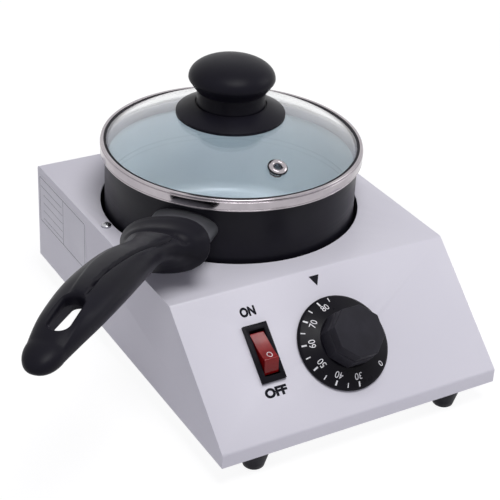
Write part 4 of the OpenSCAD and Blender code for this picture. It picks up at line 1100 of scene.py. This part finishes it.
@dataclass(frozen=True)
class Pan:
    """Straight-sided pan: black outside, pale ceramic inside, with a flattened tube for the handle."""

    seat: float = 42.5
    top: float = 113.5
    radius: float = 76.0
    wall: float = 2.0
    lip_r: float = 77.2
    lip_low: float = 111.9
    floor: float = 3.0

    def build(self) -> None:
        """Builds the pan, its ferrule and the weld between them."""
        inner, inside = self.radius - self.wall, self.seat + self.floor
        shell = fillet([(0, self.seat, 0), (self.radius, self.seat, 9),
                        (self.radius, self.lip_low - 0.8, 0.5), (self.lip_r, self.lip_low, 0.3),
                        (self.lip_r, self.top, 0.6), (inner, self.top, 0.6), (inner, inside, 7),
                        (0, inside, 0)], 9)
        pot = lathe(shell, 192, lambda radius, height: int(height > inside - 0.4 and radius < inner + 0.4))
        piece("pan_body", pot, Body.PAN, [PAN_BLACK, PAN_CERAMIC], WELL, ["pan_shell"])
        dressed_copy("handle_ferrule", Body.PAN, FERRULE_STEEL, 0.0, 40)
        dressed_copy("handle_stud", Body.PAN, NICKEL, 0.1)
        dressed_copy("handle_screw", Body.PAN, NICKEL, 0.1)
        piece("ferrule_weld", self.weld(), Body.PAN, [PAN_BLACK], HANDLE_WAY)

    def weld(self, half_w: float = 19.5, half_h: float = 9.4, middle: float = 98.9,
             bead: float = 0.45) -> Mesh:
        """Returns the weld bead where the tube meets the pan.

        Args:
            half_w: Half width of the tube.
            half_h: Half height of the tube.
            middle: Height of the tube's middle.
            bead: Radius of the bead.

        Returns:
            The bead, with the ripple that a welder's hand leaves.
        """
        steps, sides = 180, 10
        rings = []
        for k in range(steps + 1):
            angle = math.tau * (k % steps) / steps
            y, z = half_w * math.cos(angle), half_h * math.sin(angle)
            centre = Vector((math.sqrt(self.radius ** 2 - y * y) + 0.2, y, middle + z))
            out = Vector((0, math.cos(angle) / half_w, math.sin(angle) / half_h)).normalized()
            size = bead * (1 + 0.12 * math.sin(k * 1.7))
            turns = [polar(1.0, math.tau * j / sides) for j in range(sides)]
            rings.append([centre + size * (c * out + Vector((s, 0, 0))) for c, s in turns])
        bm = loft(rings, close=False)
        bmesh.ops.remove_doubles(bm, verts=bm.verts, dist=1e-4)
        return bm


@dataclass(frozen=True)
class Handle:
    """Pressed phenolic handle: a flared collar, a waist, a grip with a raised back and a hanging slot."""

    collar_r: float = 105.0
    collar_z: float = 101.7
    collar_half: tuple[float, float] = (25.8, 15.4)
    grip_half: tuple[float, float] = (15.4, 9.4)
    length: float = 156.0
    rise: float = 22.0
    lean: float = 22.0
    roll: float = 12.0
    sides: int = 160
    back_top: float = 131.0
    slot_r: float = 226.7
    recess_r: float = 219.4
    stud: Matrix = field(default_factory=lambda: moved(105, 0, 105.2) @ turned(75, "Y"))

    def stations(self) -> list[list[float]]:
        """Lists the sections that the handle runs through.

        Returns:
            For each, its share of the length and of the rise, half width, half thickness, lean and roll.
        """
        (cw, ch), (gw, gt) = self.collar_half, self.grip_half
        n = self.length
        marks = [
            [-3.6 / n, 0, cw - 2.4, ch - 1.8, self.lean, self.roll], [0, 0, cw, ch, self.lean, self.roll],
            [2.4 / n, 0.01, cw - 0.4, ch - 0.4, self.lean, self.roll],
            [7 / n, 0.11, cw * 0.86, ch * 0.76, self.lean * 0.9, self.roll * 0.9],
            [13 / n, 0.26, cw * 0.67, ch * 0.59, self.lean * 0.6, self.roll * 0.6],
            [21 / n, 0.39, cw * 0.5, ch * 0.5, self.lean * 0.3, self.roll * 0.3],
            [0.20, 0.50, gw * 0.72, gt * 0.76, 0, 0], [0.34, 0.75, gw * 0.88, gt * 0.91, 0, 0],
            [0.49, 0.90, gw * 0.96, gt, 0, 0], [0.65, 0.99, gw * 0.96, gt, 0, 0],
            [0.80, 0.97, gw * 0.84, gt * 0.88, 0, 0], [0.91, 0.83, gw * 0.65, gt * 0.68, 0, 0]]
        run = spline(marks, 10)
        end = run[-1]
        cap = 1 - end[0]
        for k in range(1, 13):
            a = math.radians(k * 7.2)
            run.append([end[0] + cap * math.sin(a), end[1] - 0.08 * math.sin(a), end[2] * math.cos(a),
                        end[3] * math.cos(a), 0, 0])
        return run

    def ring(self, station: Sequence[float]) -> list[Vector]:
        """Shapes one section, with the raised back and the hollows behind the collar.

        Args:
            station: One of the sections that stations() lists.

        Returns:
            The section's points.
        """
        share, rise, half_w, half_t, lean, roll = station
        lean, roll = math.radians(lean), math.radians(roll)
        points = []
        for k in range(self.sides):
            c, s = math.cos(math.tau * k / self.sides), math.sin(math.tau * k / self.sides)
            w = half_w * math.copysign(abs(c) ** 0.86, c)
            h = half_t * math.copysign(abs(s) ** 0.86, s)
            y, z = w * math.cos(roll) - h * math.sin(roll), w * math.sin(roll) + h * math.cos(roll)
            r = self.collar_r + share * self.length - z * math.sin(lean)
            if s > 0.05:
                z += self.back(r, y) * ramp(s, 0.05, 0.4)
            height = self.collar_z + rise * self.rise + z * math.cos(lean)
            points.append(Vector((r, y - 0.8 * ramp(share, 0.7, 0.95), height)))
        return points

    def back(self, r: float, y: float) -> float:
        """Returns how far the top is raised at distance r and sideways place y.

        Args:
            r: Distance from the pan's axis.
            y: Place across the handle.

        Returns:
            The raise in millimetres, negative in the hollows behind the collar.
        """
        left = between([(-200, -9.5), (124, -9.0), (139, -6.0), (151, -6.2), (168, -7.7), (181, -8.1),
                        (195, -6.2), (207, -4.8), (217, -3.6), (400, -3.0)], r)
        right = between([(-200, 9.5), (124, 9.0), (139, 5.0), (152, 4.9), (168, 3.8), (183, 2.6),
                         (194, 2.0), (207, 2.7), (217, 3.2), (400, 3.2)], r)
        along = ramp(r, 122, 134) * (1 - ramp(r, 208, 218))
        raised = 0.75 * along * (ramp(y, left - 0.7, left + 0.3) - ramp(y, right - 0.2, right + 0.7))
        crease = ramp(r, 112, 124) * (1 - ramp(r, 208, 216))
        groove = 1.1 * crease * math.exp(-((y - right - 0.7) / 0.5) ** 2)
        ridge = 0.7 * ramp(r, 218, 228) * (1 - ramp(r, 246, 256)) * math.exp(-((y - 9.6) / 1.5) ** 2)
        fold = 1.9 * math.exp(-((r - 116.0) / 2.6) ** 2)
        return raised + ridge - groove - fold

    def slot(self, half_w: float, half_l: float, levels: Sequence[tuple[float, float]], fall: float,
             steps: int = 48) -> Mesh:
        """Returns the tool that cuts the hanging slot.

        Args:
            half_w: Half width of the slot.
            half_l: Half its length, less its half width.
            levels: Height and widening of each step of the tool.
            fall: How much the upper steps fall for each millimetre outwards.
            steps: Points round the slot.

        Returns:
            The closed tool, about the slot's middle.
        """
        rings = []
        for k, (height, wider) in enumerate(levels):
            round_end = [polar(half_w + wider, math.tau * j / steps) for j in range(steps)]
            spots = [(x + math.copysign(half_l, x), y) for x, y in round_end]
            rings.append([Vector((x, y, height - (fall * x if k else 0))) for x, y in spots])
        return loft(rings)

    def build(self) -> None:
        """Builds the handle."""
        body = loft([self.ring(station) for station in self.stations()])
        under, top = 80.0, self.back_top
        flare = [(under, 0.0), (top - 3.2, 0.0), (top - 1.9, 0.25), (top - 0.9, 0.8), (top - 0.1, 1.8),
                 (top + 3, 5.5)]
        through = self.slot(5.0, 7.3, flare, 0.17)
        through.transform(moved(self.slot_r))
        recess = self.slot(8.0, 14.6, [(under, 0.0), (top - 5.6, 0.0), (top - 4.8, -0.8)], 0.06)
        recess.transform(moved(self.recess_r))
        seat = rod(3.1, 0, 40, 32)
        seat.transform(self.stud @ moved(z=27) @ turned(90, "Y") @ moved(z=5.7))
        bore = rod(2.6, -40, 34.2, 32)
        bore.transform(self.stud)
        piece("handle_body", carve(body, [through, recess, seat, bore]), Body.PAN, [HANDLE_BLACK], HANDLE_WAY,
              ["handle_grip"], crease=38)


@dataclass(frozen=True)
class Lid:
    """Domed glass lid in a rolled steel rim, with its vent and its two-part knob."""

    rim_r: float = 78.7
    rim_low: float = 112.1
    rim_top: float = 119.3
    roll_r: float = 76.5
    skirt_r: float = 72.8
    skirt_low: float = 107.5
    dome_r: float = 148.27
    dome_top: float = 139.3
    glass: float = 3.6
    vent_out: float = 58.6
    vent_az: float = -93.6
    knob: tuple[float, float] = (-2.6, 34.7)
    knob_low: float = 151.59
    knob_r: float = 25.6
    knob_side: float = 7.0
    knob_dome: float = 12.0

    def build(self) -> None:
        """Builds the lid's pieces."""
        r, low, top = self.rim_r, self.rim_low, self.rim_top
        inner, skirt, skirt_low = self.roll_r, self.skirt_r, self.skirt_low
        band = fillet([
            (r, low, 0.28), (r, low + 0.8, 0.3), (r - 0.5, low + 1.0, 0.1), (r, low + 1.2, 0.1),
            (r, top - 1.7, 0.25), (r - 0.6, top - 1.45, 0.1), (r - 0.15, top, 1.1), (inner, top, 0.7),
            (inner, top - 0.6, 0.1), (r - 1.1, top - 0.6, 0.3), (r - 1.1, 114.1, 0.2), (skirt, 114.1, 0.5),
            (skirt, skirt_low, 0.25), (skirt + 0.6, skirt_low, 0.25), (skirt + 0.6, 113.5, 0.2),
            (r - 1.1, 113.5, 0.2), (r - 1.1, low, 0.28)], 7)
        # Faces under the roll and on the inner skirt take the darker steel: painted shade under the rim.
        ring = lathe(band, 224, lambda radius, height: int(radius < r - 1.0 and height < top - 1.2))
        piece("lid_ring", ring, Body.LID, [RIM_STEEL, SKIRT_STEEL_PAINTED_SHADE], WELL, ["lid_rim"])
        # A black seal bead inside the roll, widened to stand for the shade under the rim's inner edge: partly
        # a real seal, partly painted shade.
        seal_and_shade_profile = fillet([(74.9, 118.95, 0), (76.62, 117.9, 0), (76.62, 118.66, 0.1), (75.3, 119.2, 0.3)], 4)
        piece("lid_seal_and_painted_shade", lathe(seal_and_shade_profile, 224), Body.LID, [BLACK_RUBBER], WELL)
        self.build_glass()
        self.build_vent()
        self.build_knob()

    def sphere(self, radius: float, edge: float, steps: int) -> Profile:
        """Returns a dome's line from its top to a radius of edge."""
        angles = [math.asin(edge / radius) * k / steps for k in range(steps + 1)]
        return [(radius * math.sin(a), self.dome_top - self.dome_r + radius * math.cos(a)) for a in angles]

    def vent_place(self) -> Matrix:
        """Returns the vent's place, square to the glass."""
        outwards = Matrix.Rotation(math.asin(self.vent_out / self.dome_r), 4, "Y")
        return (WELL @ moved(z=self.dome_top - self.dome_r) @ turned(self.vent_az, "Z") @ outwards
                @ moved(z=self.dome_r))

    def build_glass(self) -> None:
        """Builds the dome with its two holes."""
        outer = self.sphere(self.dome_r, self.roll_r, 40)
        inner = self.sphere(self.dome_r - self.glass, self.roll_r - 0.94, 40)
        dome = lathe([*outer, (self.roll_r, 114.4), *inner[::-1]], 192)
        dome.transform(WELL)
        hole = rod(4.1, -9, 9, 48)
        hole.transform(self.vent_place())
        bolt = rod(3.5, 120, 160, 48)
        bolt.transform(moved(*self.knob))
        piece("lid_dome", carve(dome, [hole, bolt]), Body.LID, [GLASS], Matrix(), ["lid_glass"])

    def build_vent(self) -> None:
        """Builds the soft ring and the steel eyelet of the vent."""
        place = self.vent_place()
        seal = fillet([(3.3, -4.8, 0.2), (4.05, -4.8, 0.2), (4.05, 0.15, 0), (5.9, 0.15, 0.3),
                       (5.9, 1.05, 0.4), (3.3, 1.05, 0)])
        piece("vent_grommet", lathe(seal, 64), Body.LID, [BLACK_RUBBER], place, ["vent_seal"])
        eyelet = fillet([(2.4, -5.6, 0.3), (4.3, -5.6, 0.3), (3.3, -4.8, 0.2), (3.3, 1.05, 0),
                         (5.3, 1.05, 0.15), (5.3, 1.45, 0.4), (4.3, 2.1, 0.6), (3.2, 2.1, 0.5),
                         (2.4, 1.5, 0.4)])
        piece("vent_eyelet_turned", lathe(eyelet, 64), Body.LID, [RIM_STEEL], place, ["vent_eyelet"])

    def build_knob(self) -> None:
        """Builds the knob's flange, its cap, its washer and its screw."""
        place = moved(*self.knob)
        low, wide, side, dome = self.knob_low, self.knob_r, self.knob_side, self.knob_dome
        under = [(radius, height + 0.3) for radius, height in self.sphere(self.dome_r, 31.6, 8)]
        flange = fillet([(32.5, 135.9, 0.25), (32.5, 137.59, 0.5), (21.3, 142.99, 0.25), (20.9, 142.1, 0.1),
                         (20.4, 142.1, 0.1), (20.4, low, 0)], 5, closed=False)
        base = lathe([*under, *flange, (0, low)], 144)
        piece("knob_flange", base, Body.LID, [HANDLE_BLACK], place, ["knob_base"])
        line = fillet([(0, low, 0), (21.0, low, 0.7), (25.15, low + side - 1.1, 0.6), (wide, low + side, 0)],
                      5, closed=False)
        line += [(wide * math.cos(a) ** 0.94, low + side + dome * math.sin(a) ** 0.94)
                 for a in (math.radians(4.5 * k) for k in range(1, 20))]
        cap = lathe([*line, (0, low + side + dome)], 144)
        piece("knob_cap", cap, Body.LID, [HANDLE_BLACK], place, ["lid_knob"])
        dressed_copy("knob_washer", Body.LID, NICKEL, 0.15)
        dressed_copy("knob_screw", Body.LID, NICKEL, 0.1)


@dataclass(frozen=True)
class Works:
    """Heater, thermostat, wiring and cable entry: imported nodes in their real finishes."""

    rounded: tuple[tuple[str, Finish, float], ...] = (
        ("heating_well", ALUMINIUM, 0.2), ("gland_body", BLACK_NYLON, 0.25),
        ("gland_locknut", BLACK_NYLON, 0.25), ("gland_cap", BLACK_NYLON, 0.4),
        ("gland_seal", BLACK_RUBBER, 0.3))

    def build(self) -> None:
        """Rounds what can be seen and finishes every other node in place."""
        for node, finish, bevel in self.rounded:
            dressed_copy(node, Body.BASE, finish, bevel)
        plain: dict[Finish, str] = {
            ZINC: "clamp_plate heat_shield", GLASS_WOOL: "well_insulation heater_blanket",
            ELEMENT_SHEATH: "heating_element", CUTOUT_CASE: "thermal_cutout",
            COPPER: "sensor_bulb capillary_tube",
            STEATITE: "thermostat_body", BRASS: "thermostat_bush thermostat_tabs switch_tabs knob_insert",
            NEON: "switch_lamp", CREAM_NYLON: "terminal_block", WIRE_BROWN: "wire_live wire_switched",
            WIRE_RED: "wire_heater", WIRE_BLUE: "wire_neutral", WIRE_EARTH: "wire_earth",
            NICKEL: "foot_nuts well_nuts clamp_stud clamp_nuts bulb_clip thermostat_screws switch_pin "
                    "terminal_screws earth_stud earth_nut control_shaft"}
        for finish, nodes in plain.items():
            for node in nodes.split():
                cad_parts[node].material_slots[0].material = finish.material()
                LOG.info("%s: finished in place as %s", node, finish.name)


# ---------------------------------------------------------------------- studio


@dataclass(frozen=True)
class Studio:
    """Pale floor, white surround, soft lamps and the camera."""

    eye: tuple[float, float, float] = (-0.38618, -0.62607, 0.48763)
    azimuth: float = -31.335
    elevation: float = 30.219
    roll: float = 3.143
    lens: float = 101.794
    floor_drop: float = 0.0002

    def build(self) -> None:
        """Builds the studio."""
        self.lay_floor()
        self.light()
        self.aim()

    def seen(self, tree: Tree) -> Socket:
        """Tells the rays that show the surround itself from those that light the warmer.

        Args:
            tree: The floor's or the world's tree.

        Returns:
            1 for camera, mirror and glass rays, and 0 for the others.
        """
        path = add(tree, "ShaderNodeLightPath").outputs
        shown = path["Is Camera Ray"]
        for ray in ("Is Glossy Ray", "Is Transmission Ray"):
            shown = add(tree, "ShaderNodeMath", {0: shown, 1: path[ray]}, operation="MAXIMUM").outputs[0]
        return shown

    def lay_floor(self) -> None:
        """Lays a plain pale floor that keeps the shadow."""
        bm = bmesh.new()
        bmesh.ops.create_grid(bm, x_segments=8, y_segments=8, size=4.0)
        floor = linked("floor", as_data("floor", bm))
        floor.location.z = -self.floor_drop
        mat = bpy.data.materials.new("paper_floor")
        mat.use_nodes = True
        tree = mat.node_tree
        tree.nodes.clear()
        paper = add(tree, "ShaderNodeBsdfDiffuse", {"Color": linear("#F4F4F6")})
        where = add(tree, "ShaderNodeTexCoord").outputs["Object"]
        away = add(tree, "ShaderNodeVectorMath", {0: where}, operation="LENGTH").outputs["Value"]
        fade = {"Value": away, "From Min": 0.2, "From Max": 0.9}
        strength = add(tree, "ShaderNodeMapRange", {**fade, "To Min": 1.13, "To Max": 1.02}).outputs[0]
        paper_share = add(tree, "ShaderNodeMapRange", {**fade, "To Min": 0.8, "To Max": 1.0}).outputs[0]
        glow = add(tree, "ShaderNodeEmission", {"Color": (1, 1, 1, 1), "Strength": strength})
        share = add(tree, "ShaderNodeMath", {0: self.seen(tree), 1: paper_share},
                    operation="MULTIPLY").outputs[0]
        both = add(tree, "ShaderNodeMixShader", {0: share, 1: paper.outputs[0], 2: glow.outputs[0]})
        add(tree, "ShaderNodeOutputMaterial", {0: both.outputs[0]})
        floor.data.materials.append(mat)

    def light(self) -> None:
        """Sets the white surround, faintly violet as light, two soft lamps and the switch's spot."""
        world = bpy.data.worlds.new("surround")
        world.use_nodes = True
        tree = world.node_tree
        tree.nodes.clear()
        shown = self.seen(tree)
        strength = add(tree, "ShaderNodeMapRange", {"Value": shown, "To Min": 0.24, "To Max": 1.0}).outputs[0]
        tone = add(tree, "ShaderNodeMix", {0: shown, 6: linear("#F3F0FF"), 7: (1, 1, 1, 1)},
                   data_type="RGBA").outputs[2]
        sky = add(tree, "ShaderNodeBackground", {"Color": tone, "Strength": strength})
        add(tree, "ShaderNodeOutputWorld", {0: sky.outputs[0]})
        bpy.context.scene.world = world
        self.lamp("key", (-0.05, -0.5, 1.55), 0.75, 14.6)
        self.lamp("right", (1.3, -0.3, 0.8), 0.7, 3.0)
        spot = self.lamp("switch", (0.066, -0.097, 0.279), 0.022, 0.4, kind="SPOT",
                         target=(-0.044, -0.088, 0.056))
        spot.spot_size, spot.spot_blend = math.radians(13), 0.6

    def lamp(self, name: str, place: tuple[float, float, float], size: float, power: float,
             kind: str = "AREA", target: tuple[float, float, float] = (0.0, 0.0, 0.06)) -> bpy.types.Light:
        """Hangs a soft lamp that looks at its target.

        Args:
            name: The lamp's name.
            place: Where it hangs, in metres.
            size: The side of a square lamp or the radius of a spot, in metres.
            power: Its power in watts.
            kind: Blender's kind of lamp, AREA or SPOT.
            target: What it looks at, in metres.

        Returns:
            The lamp's data.
        """
        data = bpy.data.lights.new(name, kind)
        data.energy = power
        if kind == "AREA":
            data.size = size
        else:
            data.shadow_soft_size = size
        obj = linked(name, data)
        obj.location = place
        obj.rotation_euler = (Vector(target) - Vector(place)).to_track_quat("-Z", "Y").to_euler()
        return data

    def aim(self) -> None:
        """Sets the camera in its place and turns it at the warmer."""
        az, el, roll = (math.radians(a) for a in (self.azimuth, self.elevation, self.roll))
        back = Vector((math.sin(az) * math.cos(el), -math.cos(az) * math.cos(el), math.sin(el)))
        right = (-back).cross(Vector((0, 0, 1))).normalized()
        up = right.cross(-back)
        across = math.cos(roll) * right + math.sin(roll) * up
        above = -math.sin(roll) * right + math.cos(roll) * up
        data = bpy.data.cameras.new("camera")
        data.lens, data.sensor_width, data.clip_start = self.lens, 36.0, 0.01
        camera = linked("camera", data)
        camera.matrix_world = moved(*self.eye) @ Matrix((across, above, back)).transposed().to_4x4()
        bpy.context.scene.camera = camera


def main() -> None:
    """Builds the warmer and its studio."""
    logging.basicConfig(level=logging.INFO, format="%(name)s: %(message)s")
    scene = bpy.context.scene
    scene.view_settings.view_transform = "Standard"
    for part in (Housing(), Dial(), Switch(), Pan(), Handle(), Lid(), Works(), Studio()):
        part.build()


if __name__ == "__main__":
    main()
